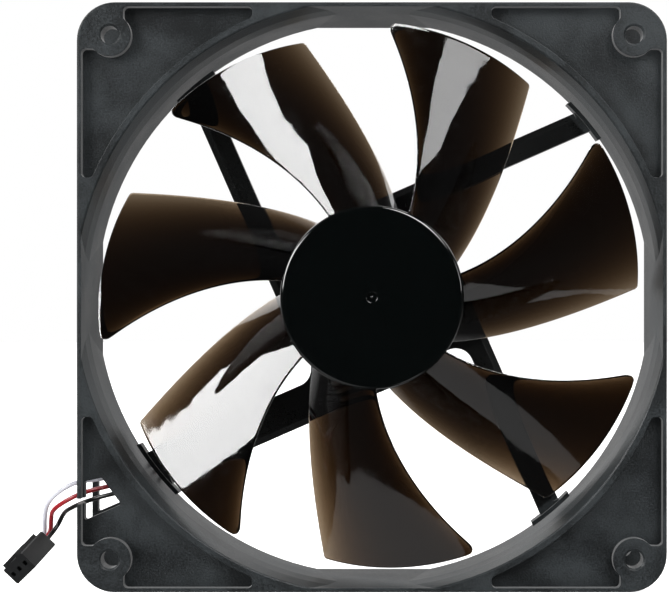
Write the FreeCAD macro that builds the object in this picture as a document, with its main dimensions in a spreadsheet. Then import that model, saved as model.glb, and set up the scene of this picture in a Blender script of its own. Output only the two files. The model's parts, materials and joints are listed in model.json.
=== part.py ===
"""140 mm case fan, standing on its lower edge.

X runs to the right, Y from the intake side to the exhaust side, Z up.
The origin is the centre of the frame, on the axis of the shaft.
"""
import FreeCAD, Part
import math
import os

import Sketcher

Vector = FreeCAD.Vector
AXIS = Vector(0, 1, 0)
PLACED_WITHIN = 1e-3

doc = FreeCAD.newDocument("case_fan")
sizes = doc.addObject("Spreadsheet::Sheet", "sizes")

# ---------------------------------------------------------------- driving sizes, in mm and degrees
DRIVING_SIZES = {
    "frame_side": (140.0, "side of the square frame"),
    "frame_depth": (25.0, "depth of the frame along the axis"),
    "corner_radius": (9.0, "outer corners of the flanges"),
    "front_flange": (5.0, "thickness of the intake flange"),
    "rear_flange": (4.5, "thickness of the exhaust flange"),
    "rim_wall": (1.0, "upright wall along the outer edge of a corner pocket"),
    "hole_pitch": (124.5, "spacing of the screw holes, both ways"),
    "hole_radius": (2.15, "screw hole"),
    "hole_chamfer": (0.45, "chamfer at the mouth of a screw hole"),
    "boss_radius": (5.1, "boss round a screw hole"),
    "bore_mouth_radius": (70.5, "bore at the intake face"),
    "bore_radius": (69.2, "narrowest bore"),
    "bore_rear_radius": (69.5, "bore at the exhaust face"),
    "bell_depth": (9.0, "depth of the flared mouth"),
    "mouth_flat": (69.0, "flat sides of the mouth, from the axis"),
    "rear_flat": (68.1, "flat sides of the bore at the exhaust face, from the axis"),
    "duct_wall": (1.5, "duct between the flanges"),
    "ridge_wall": (1.7, "ridge between a corner pocket and the mouth"),
    "pocket_depth": (2.5, "corner pockets of the intake flange"),
    "rear_pocket_depth": (2.0, "corner pockets of the exhaust flange"),
    "pocket_end": (28.4, "narrow ends of a pocket, from the middle of the side"),
    "pocket_corner": (1.15, "rounded corners of a pocket"),
    "corner_block": (3.25, "solid corner, from the screw hole towards the pocket"),
    "edge_chamfer": (0.35, "broken outer edges of the flanges"),
    "strut_angle": (23.7, "direction of the first strut"),
    "strut_width": (5.7, "width of a plain strut"),
    "cable_strut_width": (9.6, "width of the strut that carries the leads"),
    "strut_depth": (3.7, "axial depth of a strut"),
    "strut_bevel": (1.6, "bevel along the outer edge of a strut"),
    "strut_fillet": (4.5, "fillet between a strut and the motor base"),
    "strut_end_gap": (0.8, "square end of a strut, inwards from the bore"),
    "bevel_start": (7.77, "inner end of a strut's bevel, along the strut"),
    "bevel_end_gap": (4.0, "outer end of a strut's bevel, inwards from the end blocks"),
    "block_margin": (2.8, "block at a strut's end, beyond the strut on each side"),
    "block_height": (1.1, "block at a strut's end, inwards from the bore"),
    "block_start": (61.56, "inner end of a strut's block, before it is cut round"),
    "channel_wall": (1.2, "side walls of the lead channel, and its floor"),
    "channel_start": (6.66, "inner end of the lead channel, along the strut"),
    "channel_deep_end": (16.65, "outer end of the channel's deep stretch, along the strut"),
    "channel_deep_floor": (0.4, "floor of the channel's deep stretch"),
    "channel_reach": (5.0, "end of the lead channel, beyond the ridge"),
    "base_radius": (22.2, "motor base"),
    "base_setback": (0.3, "motor base, in front of the exhaust face"),
    "base_depth": (4.2, "axial depth of the motor base"),
    "base_recess": (2.0, "recess for the board's parts"),
    "base_rim": (1.5, "rim of the motor base"),
    "seat_wall": (1.5, "wall round the bearing tube's seat"),
    "label_recess": (0.3, "recess for the label"),
    "label_radius": (20.0, "label"),
    "label_thickness": (0.15, "label"),
    "hub_radius": (21.9, "impeller hub"),
    "hub_setback": (0.9, "hub face behind the intake face"),
    "hub_depth": (18.4, "axial depth of the hub"),
    "hub_wall": (1.5, "wall of the hub"),
    "hub_edge": (1.0, "rounded front edge of the hub"),
    "gate_radius": (1.2, "dimple at the middle of the hub"),
    "gate_depth": (0.5, "dimple at the middle of the hub"),
    "gate_nub": (0.45, "moulding stub in the dimple, radius"),
    "gate_nub_setback": (0.1, "middle of the moulding stub, behind the hub face"),
    "gate_nub_edge": (0.2, "edge of the moulding stub, behind the hub face"),
    "tip_radius": (65.75, "blade tips"),
    "tip_corner": (3.0, "rounded corner between leading edge and tip"),
    "blade_angle": (26.8, "direction of the first blade"),
    "lead_root": (-11.4, "leading edge at the hub, degrees round the axis"),
    "lead_middle": (-4.6, "leading edge half-way"),
    "lead_tip": (8.9, "leading edge at the tip"),
    "trail_root": (-55.5, "trailing edge at the hub"),
    "trail_middle": (-38.2, "trailing edge half-way"),
    "trail_tip": (-24.4, "trailing edge at the tip"),
    "lead_setback": (3.0, "leading edge behind the intake face, at the tip"),
    "lead_root_setback": (2.6, "leading edge behind the intake face, at the hub"),
    "blade_height": (16.0, "axial height of a blade at the tip"),
    "blade_root_height": (14.6, "axial height of a blade at the hub"),
    "blade_camber": (2.0, "bow of a blade towards the intake"),
    "blade_root_thickness": (1.7, "blade at the hub"),
    "blade_tip_thickness": (1.2, "blade at the tip"),
    "yoke_wall": (1.0, "steel cup"),
    "yoke_depth": (16.0, "axial depth of the steel cup"),
    "magnet_wall": (1.8, "ring magnet"),
    "magnet_depth": (12.0, "ring magnet, axial"),
    "magnet_setback": (2.0, "magnet behind the cup's inner face"),
    "air_gap": (0.45, "between magnet and stator"),
    "core_depth": (6.0, "stack of laminations"),
    "core_front": (7.6, "front of the laminations, behind the intake face"),
    "core_ring": (2.2, "radial thickness of the pole shoes"),
    "core_hub_radius": (7.0, "hub of the laminations"),
    "tooth_width": (4.0, "tooth of the stator"),
    "pole_slot": (2.4, "gap between two pole shoes"),
    "insulation": (0.6, "bobbin wall round a tooth"),
    "bobbin_cap": (1.2, "bobbin wall over the ends of a tooth"),
    "bobbin_lap": (2.9, "length of a bobbin half along the core"),
    "coil_build": (1.5, "thickness of a winding"),
    "coil_corner": (1.35, "rounded corners of a winding"),
    "coil_length": (5.6, "radial length of a winding"),
    "board_gap": (3.3, "from the laminations to the circuit board"),
    "board_thickness": (1.0, "circuit board"),
    "board_radius": (16.6, "circuit board"),
    "board_bore": (5.2, "circuit board, inner radius"),
    "pin_radius": (0.35, "winding pin"),
    "pin_circle": (6.3, "winding pins, from the axis"),
    "pin_tail": (0.7, "winding pin behind the board"),
    "tube_radius": (4.0, "bearing tube"),
    "tube_bore": (3.2, "bearing tube"),
    "tube_front": (8.4, "front of the bearing tube, behind the intake face"),
    "bearing_depth": (10.0, "sleeve bearing"),
    "bearing_setback": (1.0, "sleeve bearing behind the front of its tube"),
    "shaft_radius": (1.5, "shaft"),
    "running_fit": (0.02, "radial play of the shaft in the bearing"),
    "clear_fit": (0.35, "radial room round a turning piece that touches nothing"),
    "bush_radius": (3.0, "brass bush of the cup"),
    "bush_depth": (2.4, "brass bush of the cup"),
    "shaft_end_room": (0.05, "between the shaft's end and the thrust pad"),
    "shaft_point": (0.5, "length of the shaft's tapered end"),
    "shaft_tip_radius": (0.6, "flat at the shaft's tapered end"),
    "cap_thickness": (1.2, "thrust cap"),
    "groove_depth": (0.4, "groove for the retaining clip"),
    "clip_thickness": (0.4, "retaining clip"),
    "clip_radius": (2.5, "retaining clip"),
    "clip_slot": (1.0, "opening of the retaining clip"),
    "washer_thickness": (0.4, "wear washer"),
    "washer_room": (0.1, "between the wear washer and the oil seal ring"),
    "seal_thickness": (0.6, "oil seal ring"),
    "lead_diameter": (1.1, "one lead"),
    "lead_pitch": (2.0, "spacing of the leads in the channel"),
    "plug_pitch": (2.54, "spacing of the sockets in the plug"),
    "plug_end_wall": (0.56, "wall of the plug beside the last socket"),
    "plug_thickness": (4.9, "plug"),
    "plug_length": (11.0, "plug, along the sockets"),
    "plug_mouth": (1.15, "square opening of a socket"),
    "plug_cavity": (1.6, "square cavity of a socket"),
    "plug_lip": (1.0, "wall in front of a terminal"),
    "plug_bevel": (0.3, "long edges of the plug"),
    "plug_rib_height": (0.9, "two ribs along the plug"),
    "plug_rib_width": (1.1, "two ribs along the plug"),
    "plug_rib_length": (9.5, "two ribs along the plug"),
    "plug_rib_place": (2.3, "two ribs along the plug, from its middle"),
    "crimp_length": (4.2, "round crimp of a terminal"),
    "crimp_room": (0.1, "between a crimp and its cavity"),
    "terminal_opening": (0.8, "square opening of a terminal"),
    "terminal_depth": (4.5, "opening of a terminal"),
    "window_rim": (1.4, "rim of the lead window, from the frame's side"),
    "window_upper": (43.9, "upper side of the lead window at the rim, below the axis"),
    "window_lower": (53.2, "lower side of the lead window at the rim, below the axis"),
    "window_corner": (0.4, "rounded corners of the lead window"),
    "window_tip_left": (64.5, "upper inner corner of the lead window, left of the axis"),
    "window_tip_upper": (43.0, "upper inner corner of the lead window, below the axis"),
    "window_tip_right": (59.8, "lower inner corner of the lead window, left of the axis"),
    "window_tip_lower": (49.4, "lower inner corner of the lead window, below the axis"),
    "rim_slot_upper": (47.8, "slot that lets the leads in, below the axis"),
    "rim_slot_lower": (49.1, "slot that lets the leads in, below the axis"),
}
FIRST_ROW = 2
sizes.set("A1", "meaning")
sizes.set("B1", "value")
for row, (alias, (number, meaning)) in enumerate(DRIVING_SIZES.items(), FIRST_ROW):
    sizes.set(f"A{row}", meaning)
    sizes.set(f"B{row}", str(number))
    sizes.setAlias(f"B{row}", alias)
doc.recompute()

# How far a cutting tool reaches past the faces that it goes through.
PAST = 1.0
FAR_PAST = 5.0

# Numbers of like pieces.
STRUTS = 4
BLADES = 7
POLES = 4
QUARTER = 90.0

# Axial places, as expressions over the sheet.
INTAKE = "(-sizes.frame_depth / 2)"
EXHAUST = "(sizes.frame_depth / 2)"
BASE_REAR = f"({EXHAUST} - sizes.base_setback)"
BASE_FRONT = f"({BASE_REAR} - sizes.base_depth)"
RECESS_FLOOR = f"({BASE_FRONT} + sizes.base_recess)"
STRUT_FRONT = f"({BASE_REAR} - sizes.strut_depth)"
HUB_FACE = f"({INTAKE} + sizes.hub_setback)"
HUB_REAR = f"({HUB_FACE} + sizes.hub_depth)"
HUB_INSIDE = f"({HUB_FACE} + sizes.hub_wall)"
YOKE_INSIDE = f"({HUB_INSIDE} + sizes.yoke_wall)"
CORE_FRONT = f"({INTAKE} + sizes.core_front)"
CORE_REAR = f"({CORE_FRONT} + sizes.core_depth)"
BOARD_FRONT = f"({CORE_REAR} + sizes.board_gap)"
BOARD_REAR = f"({BOARD_FRONT} + sizes.board_thickness)"
TUBE_FRONT = f"({INTAKE} + sizes.tube_front)"
LABEL_SEAT = f"({BASE_REAR} - sizes.label_recess)"
CAP_FRONT = f"({LABEL_SEAT} - sizes.cap_thickness)"
BEARING_FRONT = f"({TUBE_FRONT} + sizes.bearing_setback)"
BEARING_REAR = f"({BEARING_FRONT} + sizes.bearing_depth)"
SHAFT_REAR = f"({CAP_FRONT} - sizes.shaft_end_room)"
# Radial places.
CUP_BORE = "(sizes.hub_radius - sizes.hub_wall)"
YOKE_BORE = f"({CUP_BORE} - sizes.yoke_wall)"
MAGNET_BORE = f"({YOKE_BORE} - sizes.magnet_wall)"
POLE_RADIUS = f"({MAGNET_BORE} - sizes.air_gap)"
DUCT_RADIUS = "(sizes.bore_radius + sizes.duct_wall)"
RIDGE_RADIUS = "(sizes.bore_mouth_radius + sizes.ridge_wall)"
HALF_SIDE = "(sizes.frame_side / 2)"
POCKET_SIDE = f"({HALF_SIDE} - sizes.rim_wall)"
HOLE_PLACE = "(sizes.hole_pitch / 2)"
BLOCK_RADIUS = "(sizes.bore_rear_radius - sizes.block_height)"
STRUT_OUTER = "sizes.base_radius"
STRUT_INNER = "(sizes.base_radius - sizes.strut_width)"
CABLE_INNER = "(sizes.base_radius - sizes.cable_strut_width)"
STRUT_END = "(sizes.bore_rear_radius - sizes.strut_end_gap)"
CHANNEL_FLOOR = f"({STRUT_FRONT} + sizes.channel_wall)"
CHANNEL_INNER = f"({CABLE_INNER} + sizes.channel_wall)"
CHANNEL_OUTER = f"({STRUT_OUTER} - sizes.channel_wall)"
CABLE_ANGLE = "(sizes.strut_angle + 180)"


def value(expression):
    """The number that an expression over the sheet stands for."""
    return float(sizes.evalExpression(expression))


# ---------------------------------------------------------------- sketches and features
def new_body(label):
    body = doc.addObject("PartDesign::Body", label)
    body.Label = label
    body.AllowCompound = True
    return body


def datum(body, role):
    return next(item for item in body.Origin.OriginFeatures if item.Role == role)


def new_sketch(body, role, along="0", turn="0"):
    """A sketch on one of the body's own planes, moved along its normal and turned in its plane."""
    sketch = body.newObject("Sketcher::SketchObject", f"{body.Label}_sketch")
    sketch.AttachmentSupport = [(datum(body, role), "")]
    sketch.MapMode = "FlatFace"
    sketch.setExpression("AttachmentOffset.Base.z", along)
    sketch.AttachmentOffset = FreeCAD.Placement(
        Vector(0, 0, value(along)), FreeCAD.Rotation(Vector(0, 0, 1), value(turn)))
    sketch.setExpression("AttachmentOffset.Rotation.Angle", turn)
    return sketch


def fix(sketch, kind, place, expression):
    number = sketch.addConstraint(Sketcher.Constraint(kind, *place, value(expression)))
    sketch.setExpression(f"Constraints[{number}]", expression)


def polygon(sketch, corners):
    """A closed outline of straight sides through corners given as pairs of expressions."""
    first = sketch.GeometryCount
    points = [Vector(value(x), value(y), 0) for x, y in corners]
    count = len(points)
    for index, point in enumerate(points):
        sketch.addGeometry(Part.LineSegment(point, points[(index + 1) % count]), False)
    for index, (x, y) in enumerate(corners):
        line = first + index
        following = first + (index + 1) % count
        sketch.addConstraint(Sketcher.Constraint("Coincident", line, 2, following, 1))
        fix(sketch, "DistanceX", (-1, 1, line, 1), x)
        fix(sketch, "DistanceY", (-1, 1, line, 1), y)


def rectangle(sketch, left, right, low, high):
    polygon(sketch, [(left, low), (right, low), (right, high), (left, high)])


def circle(sketch, radius, x="0", y="0"):
    number = sketch.addGeometry(
        Part.Circle(Vector(value(x), value(y), 0), Vector(0, 0, 1), value(radius)), False)
    fix(sketch, "DistanceX", (-1, 1, number, 3), x)
    fix(sketch, "DistanceY", (-1, 1, number, 3), y)
    fix(sketch, "Radius", (number,), radius)


def face_sketch(body, rear, turn="0"):
    """A sketch square to the axis, seen from the intake side, at the rear end of what it shapes."""
    return new_sketch(body, "XZ_Plane", f"-({rear})", turn)


def extrude(body, kind, sketch, length, reverse=False):
    feature = body.newObject(f"PartDesign::{kind}", f"{body.Label}_{kind.lower()}")
    feature.Profile = sketch
    feature.setExpression("Length", length)
    feature.Reversed = reverse
    doc.recompute()
    body.Tip = feature
    return feature


def pad(body, sketch, front, rear):
    """Material from the sketch at the rear end towards the intake side."""
    return extrude(body, "Pad", sketch, f"({rear}) - ({front})")


def cut_away(body, sketch, front, rear):
    """Material taken away from the sketch at the rear end towards the intake side."""
    before = body.Shape.Volume
    feature = extrude(body, "Pocket", sketch, f"({rear}) - ({front})", reverse=True)
    if body.Shape.Volume >= before:
        raise ValueError(f"{feature.Label} cuts nothing")
    return feature


def ring_pattern(body, feature, count):
    pattern = body.newObject("PartDesign::PolarPattern", f"{body.Label}_pattern")
    pattern.Originals = [feature]
    pattern.Axis = (datum(body, "Y_Axis"), [""])
    pattern.Angle = 360.0
    pattern.Occurrences = count
    doc.recompute()
    body.Tip = pattern
    return pattern


def turned(label, corners):
    """A body turned about the axis from an outline of (radius, y) pairs."""
    body = new_body(label)
    sketch = new_sketch(body, "XY_Plane")
    polygon(sketch, corners)
    feature = body.newObject("PartDesign::Revolution", f"{label}_revolution")
    feature.Profile = sketch
    feature.ReferenceAxis = (datum(body, "Y_Axis"), [""])
    feature.Angle = 360.0
    doc.recompute()
    body.Tip = feature
    return body


def ring(label, inner, outer, front, rear):
    return turned(label, [(inner, front), (outer, front), (outer, rear), (inner, rear)])


def matching_edges(shape, test):
    return [f"Edge{number}" for number, edge in enumerate(shape.Edges, 1) if test(edge)]


def runs_along_axis(edge):
    if not isinstance(edge.Curve, Part.Line):
        return False
    return abs(abs(edge.Curve.Direction.dot(AXIS)) - 1.0) < PLACED_WITHIN


def dress(body, kind, base, edges, size_name, size):
    """A Fillet or Chamfer on named edges of a feature."""
    feature = body.newObject(f"PartDesign::{kind}", f"{body.Label}_{kind.lower()}")
    feature.Base = (base, edges)
    feature.setExpression(size_name, size)
    doc.recompute()
    body.Tip = feature
    return feature


def boolean(kind, label, shapes):
    """Part::Cut and Part::Common take two shapes, Part::MultiFuse and Part::Compound take a list."""
    result = doc.addObject(f"Part::{kind}", label)
    result.Label = label
    if kind in ("Cut", "Common"):
        result.Base, result.Tool = shapes
    elif kind == "Compound":
        result.Links = shapes
    else:
        result.Shapes = shapes
    doc.recompute()
    return result


def mirrored(source, label, normal):
    copy = doc.addObject("Part::Mirroring", label)
    copy.Source = source
    copy.Base = Vector(0, 0, 0)
    copy.Normal = normal
    doc.recompute()
    return copy


# ---------------------------------------------------------------- frame
def frame_block():
    """Two square flanges on the duct, open at the corners between them, with the screw holes."""
    body = new_body("frame_block")
    sketch = face_sketch(body, EXHAUST)
    side = HALF_SIDE
    rectangle(sketch, f"-{side}", side, f"-{side}", side)
    block = pad(body, sketch, INTAKE, EXHAUST)
    upright = matching_edges(block.Shape, runs_along_axis)
    rounded = dress(body, "Fillet", block, upright, "Radius", "sizes.corner_radius")

    limit = value(EXHAUST) - PLACED_WITHIN
    outline = matching_edges(
        rounded.Shape, lambda edge: all(abs(point.Point.y) > limit for point in edge.Vertexes)
        and not runs_along_axis(edge))
    dress(body, "Chamfer", rounded, outline, "Size", "sizes.edge_chamfer")

    gap_front = f"{INTAKE} + sizes.front_flange"
    gap_rear = f"{EXHAUST} - sizes.rear_flange"
    sketch = face_sketch(body, gap_rear)
    beyond = f"({HALF_SIDE} + {FAR_PAST})"
    rectangle(sketch, f"-{beyond}", beyond, f"-{beyond}", beyond)
    circle(sketch, DUCT_RADIUS)
    cut_away(body, sketch, gap_front, gap_rear)

    sketch = face_sketch(body, EXHAUST)
    for x in (f"-{HOLE_PLACE}", HOLE_PLACE):
        for z in (f"-{HOLE_PLACE}", HOLE_PLACE):
            circle(sketch, "sizes.hole_radius", x, z)
    holes = cut_away(body, sketch, INTAKE, EXHAUST)

    radius = value("sizes.hole_radius")
    mouths = matching_edges(
        holes.Shape, lambda edge: isinstance(edge.Curve, Part.Circle)
        and abs(edge.Curve.Radius - radius) < PLACED_WITHIN and abs(edge.Curve.Center.y) > limit)
    dress(body, "Chamfer", holes, mouths, "Size", "sizes.hole_chamfer")
    return body


def bore_tool():
    """The air passage: a turned bell mouth between four flats that lean inwards to the rear."""
    beyond = FAR_PAST
    bell_end = f"{INTAKE} + sizes.bell_depth"
    turned_bore = turned("bore_turned", [
        ("0", f"{INTAKE} - {beyond}"),
        ("sizes.bore_mouth_radius + sizes.edge_chamfer", f"{INTAKE} - {beyond}"),
        ("sizes.bore_mouth_radius + sizes.edge_chamfer", f"{INTAKE}"),
        ("sizes.bore_mouth_radius", f"{INTAKE} + sizes.edge_chamfer"),
        ("(sizes.bore_mouth_radius + 2 * sizes.bore_radius) / 3", f"{INTAKE} + sizes.bell_depth / 2"),
        ("sizes.bore_radius", bell_end),
        ("sizes.bore_rear_radius", f"{EXHAUST} - sizes.edge_chamfer"),
        (f"sizes.bore_rear_radius + sizes.edge_chamfer + {beyond}", f"{EXHAUST} + {beyond}"),
        ("0", f"{EXHAUST} + {beyond}"),
    ])
    lean = "((sizes.mouth_flat - sizes.rear_flat) / sizes.frame_depth)"
    front = f"(sizes.mouth_flat + {beyond} * {lean})"
    rear = f"(sizes.rear_flat - {beyond} * {lean})"
    flats = doc.addObject("Part::Wedge", "bore_flats")
    bounds = {
        "Xmin": f"-{front}", "Xmax": front, "Zmin": f"-{front}", "Zmax": front,
        "X2min": f"-{rear}", "X2max": rear, "Z2min": f"-{rear}", "Z2max": rear,
        "Ymin": f"{INTAKE} - {beyond}", "Ymax": f"{EXHAUST} + {beyond}",
    }
    for name, expression in bounds.items():
        flats.setExpression(name, expression)
    return boolean("Common", "bore", [turned_bore, flats])


def corner_pocket(label, front, rear):
    """One triangular pocket of a flange, in the corner at +X +Z."""
    body = new_body(label)
    sketch = face_sketch(body, rear)
    near = "sizes.pocket_end"
    step = f"({HOLE_PLACE} - sizes.corner_block)"
    polygon(sketch, [
        (near, near), (POCKET_SIDE, near), (POCKET_SIDE, step), (step, step),
        (step, POCKET_SIDE), (near, POCKET_SIDE),
    ])
    pad(body, sketch, front, rear)
    for radius, place in ((RIDGE_RADIUS, "0"), ("sizes.boss_radius", HOLE_PLACE)):
        sketch = face_sketch(body, rear)
        circle(sketch, radius, place, place)
        hollow = cut_away(body, sketch, front, rear)
    corners = matching_edges(hollow.Shape, runs_along_axis)
    dress(body, "Fillet", hollow, corners, "Radius", "sizes.pocket_corner")
    return body


def all_corners(pocket):
    """The pocket and its mirror images in the other three corners."""
    across = mirrored(pocket, f"{pocket.Label}_left", Vector(1, 0, 0))
    pair = boolean("Compound", f"{pocket.Label}_upper", [pocket, across])
    below = mirrored(pair, f"{pocket.Label}_lower", Vector(0, 0, 1))
    return [pair, below]


def spokes():
    """The motor base, its four struts and the blocks where they meet the duct."""
    body = new_body("spokes")
    block_front = f"{EXHAUST} - sizes.rear_flange"
    end = "sizes.bore_rear_radius"

    def end_block(inner, turn):
        sketch = face_sketch(body, BASE_REAR, turn)
        rectangle(sketch, "sizes.block_start", end,
                  f"{inner} - sizes.block_margin", f"{STRUT_OUTER} + sizes.block_margin")
        return pad(body, sketch, block_front, BASE_REAR)

    ring_pattern(body, end_block(STRUT_INNER, "sizes.strut_angle"), STRUTS)
    end_block(CABLE_INNER, CABLE_ANGLE)
    sketch = face_sketch(body, BASE_REAR)
    circle(sketch, BLOCK_RADIUS)
    cut_away(body, sketch, block_front, BASE_REAR)

    sketch = face_sketch(body, BASE_REAR)
    circle(sketch, "sizes.base_radius")
    pad(body, sketch, BASE_FRONT, BASE_REAR)

    def strut(inner, turn):
        sketch = face_sketch(body, BASE_REAR, turn)
        rectangle(sketch, "0", STRUT_END, inner, STRUT_OUTER)
        return pad(body, sketch, STRUT_FRONT, BASE_REAR)

    ring_pattern(body, strut(STRUT_INNER, "sizes.strut_angle"), STRUTS)
    struts = strut(CABLE_INNER, CABLE_ANGLE)

    base_radius = value("sizes.base_radius")

    def meets_base(edge):
        middle = edge.CenterOfMass
        on_base = abs(math.hypot(middle.x, middle.z) - base_radius) < PLACED_WITHIN
        return runs_along_axis(edge) and on_base and edge.Length > value("sizes.strut_depth") / 2

    corners = matching_edges(struts.Shape, lambda edge: meets_base(edge) and inside_corner(edge))
    dress(body, "Fillet", struts, corners, "Radius", "sizes.strut_fillet")
    return body


def inside_corner(edge):
    """True on the clockwise side of a strut, where it leaves the motor base at an angle."""
    middle = edge.CenterOfMass
    turn = math.degrees(math.atan2(middle.z, middle.x)) - value("sizes.strut_angle")
    past_strut = turn % QUARTER
    return past_strut < QUARTER - PLACED_WITHIN * QUARTER and past_strut > PLACED_WITHIN * QUARTER


def strut_bevels():
    """A sloping cut along the front outer edge of every strut."""
    body = new_body("strut_bevels")
    sketch = new_sketch(body, "YZ_Plane", "sizes.bevel_start")
    bevel = "sizes.strut_bevel"
    polygon(sketch, [
        (f"{STRUT_FRONT} - {PAST}", f"{STRUT_OUTER} - {bevel} - {PAST}"),
        (f"{STRUT_FRONT} + {bevel} + {PAST}", f"{STRUT_OUTER} + {PAST}"),
        (f"{STRUT_FRONT} - {PAST}", f"{STRUT_OUTER} + {PAST}"),
    ])
    extrude(body, "Pad", sketch, f"{BLOCK_RADIUS} - sizes.bevel_end_gap - sizes.bevel_start")
    body.setExpression("Placement.Rotation.Angle", "-sizes.strut_angle")
    body.Placement = FreeCAD.Placement(
        Vector(0, 0, 0), FreeCAD.Rotation(AXIS, -value("sizes.strut_angle")))
    return body


def base_hollows():
    """What is taken out of the motor base: board recess, label recess and bearing tube seat."""
    recess = turned("base_recess_tool", [
        ("sizes.tube_radius + sizes.seat_wall", f"{BASE_FRONT} - {PAST}"),
        ("sizes.base_radius - sizes.base_rim", f"{BASE_FRONT} - {PAST}"),
        ("sizes.base_radius - sizes.base_rim", RECESS_FLOOR),
        ("sizes.tube_radius + sizes.seat_wall", RECESS_FLOOR),
    ])
    seat = turned("tube_seat_tool", [
        ("0", f"{BASE_FRONT} - {PAST}"), ("sizes.tube_radius", f"{BASE_FRONT} - {PAST}"),
        ("sizes.tube_radius", LABEL_SEAT), ("sizes.label_radius", LABEL_SEAT),
        ("sizes.label_radius", f"{BASE_REAR} + {PAST}"), ("0", f"{BASE_REAR} + {PAST}"),
    ])
    return [recess, seat]


def lead_channel():
    """The groove for the leads, open to the rear, from the motor base to the corner window."""
    body = new_body("lead_channel")
    window_reach = f"({RIDGE_RADIUS} + sizes.channel_reach)"
    spans = (
        (CHANNEL_FLOOR, "sizes.channel_start", window_reach),
        (f"{BASE_FRONT} + sizes.channel_deep_floor", "sizes.channel_start",
         "sizes.channel_deep_end"),
        (f"{EXHAUST} - sizes.rear_flange - {PAST}", "sizes.bore_radius", window_reach),
    )
    for front, start, finish in spans:
        sketch = face_sketch(body, f"{EXHAUST} + {PAST}", CABLE_ANGLE)
        rectangle(sketch, start, finish, CHANNEL_INNER, CHANNEL_OUTER)
        pad(body, sketch, front, f"{EXHAUST} + {PAST}")
    return body


def lead_window():
    """The window in the lower left corner of both flanges, and the slot that lets the leads in."""
    body = new_body("lead_window")
    side = f"-({HALF_SIDE} - sizes.window_rim)"
    sketch = face_sketch(body, f"{EXHAUST} + {PAST}")
    polygon(sketch, [
        (side, "-sizes.window_upper"),
        ("-sizes.window_tip_left", "-sizes.window_tip_upper"),
        ("-sizes.window_tip_right", "-sizes.window_tip_lower"),
        (side, "-sizes.window_lower"),
    ])
    window = pad(body, sketch, f"{INTAKE} - {PAST}", f"{EXHAUST} + {PAST}")
    sharp = matching_edges(window.Shape, runs_along_axis)
    dress(body, "Fillet", window, sharp, "Radius", "sizes.window_corner")
    sketch = face_sketch(body, f"{INTAKE} + sizes.front_flange + {PAST}")
    rectangle(sketch, f"-({HALF_SIDE} + {PAST})", f"{side} + {PAST}",
              "-sizes.rim_slot_lower", "-sizes.rim_slot_upper")
    pad(body, sketch, f"{INTAKE} - {PAST}", f"{INTAKE} + sizes.front_flange + {PAST}")
    return body


def make_frame():
    pockets = all_corners(corner_pocket(
        "intake_pocket", f"{INTAKE} - {PAST}", f"{INTAKE} + sizes.pocket_depth"))
    pockets += all_corners(corner_pocket(
        "exhaust_pocket", f"{EXHAUST} - sizes.rear_pocket_depth", f"{EXHAUST} + {PAST}"))
    hollows = boolean("Compound", "frame_hollows", [bore_tool()] + pockets)
    shell = boolean("Cut", "frame_shell", [frame_block(), hollows])
    whole = boolean("MultiFuse", "frame_whole", [shell, spokes()])
    bevel = strut_bevels()
    bevels = [bevel]
    for number in range(1, STRUTS):
        copy = doc.addObject("Part::Feature", f"strut_bevel_{number}")
        copy.Shape = bevel.Shape
        copy.Placement = FreeCAD.Placement(
            Vector(0, 0, 0), FreeCAD.Rotation(AXIS, -number * QUARTER)).multiply(bevel.Placement)
        bevels.append(copy)
    cutters = base_hollows() + [lead_channel(), lead_window()] + bevels
    cuts = boolean("MultiFuse", "frame_cuts", cutters)
    return boolean("Cut", "frame", [whole, cuts])


# ---------------------------------------------------------------- impeller
def through_three(root, middle, tip, share):
    """A parabola through three values at shares 0, one half and 1."""
    at_root = (share - 0.5) * (share - 1.0) / 0.5
    at_middle = share * (share - 1.0) / -0.25
    at_tip = share * (share - 0.5) / 0.5
    return root * at_root + middle * at_middle + tip * at_tip


def blade_point(radius, chord_share):
    """Middle surface of the first blade, from leading edge (0) to trailing edge (1)."""
    root = sizes.hub_radius
    share = math.log(radius / root) / math.log(sizes.tip_radius / root)
    lead = through_three(sizes.lead_root, sizes.lead_middle, sizes.lead_tip, share)
    trail = through_three(sizes.trail_root, sizes.trail_middle, sizes.trail_tip, share)
    angle = math.radians(sizes.blade_angle + lead + (trail - lead) * chord_share)
    setback = sizes.lead_root_setback + (sizes.lead_setback - sizes.lead_root_setback) * share
    height = sizes.blade_root_height + (sizes.blade_height - sizes.blade_root_height) * share
    bow = 4.0 * sizes.blade_camber * chord_share * (1.0 - chord_share)
    depth = -sizes.frame_depth / 2 + setback + height * chord_share - bow
    return Vector(radius * math.cos(angle), depth, radius * math.sin(angle))


def blade_surfaces():
    """The two faces of the blade, half its thickness each side of the middle surface."""
    steps = 8
    small = 0.01
    inner = sizes.hub_radius - sizes.hub_wall / 2
    outer = sizes.tip_radius + 1.5
    front_rows = []
    rear_rows = []
    for row in range(steps + 1):
        radius = inner + (outer - inner) * row / steps
        share = (radius - inner) / (outer - inner)
        thickness = sizes.blade_root_thickness
        thickness += (sizes.blade_tip_thickness - sizes.blade_root_thickness) * share
        front_row = []
        rear_row = []
        for column in range(steps + 1):
            chord_share = column / steps
            middle = blade_point(radius, chord_share)
            across = blade_point(radius, chord_share + small) - middle
            outward = blade_point(radius + small, chord_share) - middle
            normal = across.cross(outward).normalize()
            if normal.y > 0:
                normal = normal.negative()
            front_row.append(middle + normal * (thickness / 2))
            rear_row.append(middle - normal * (thickness / 2))
        front_rows.append(front_row)
        rear_rows.append(rear_row)
    surfaces = []
    for rows in (front_rows, rear_rows):
        surface = Part.BSplineSurface()
        surface.interpolate(rows)
        surfaces.append(surface)
    return surfaces


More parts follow.
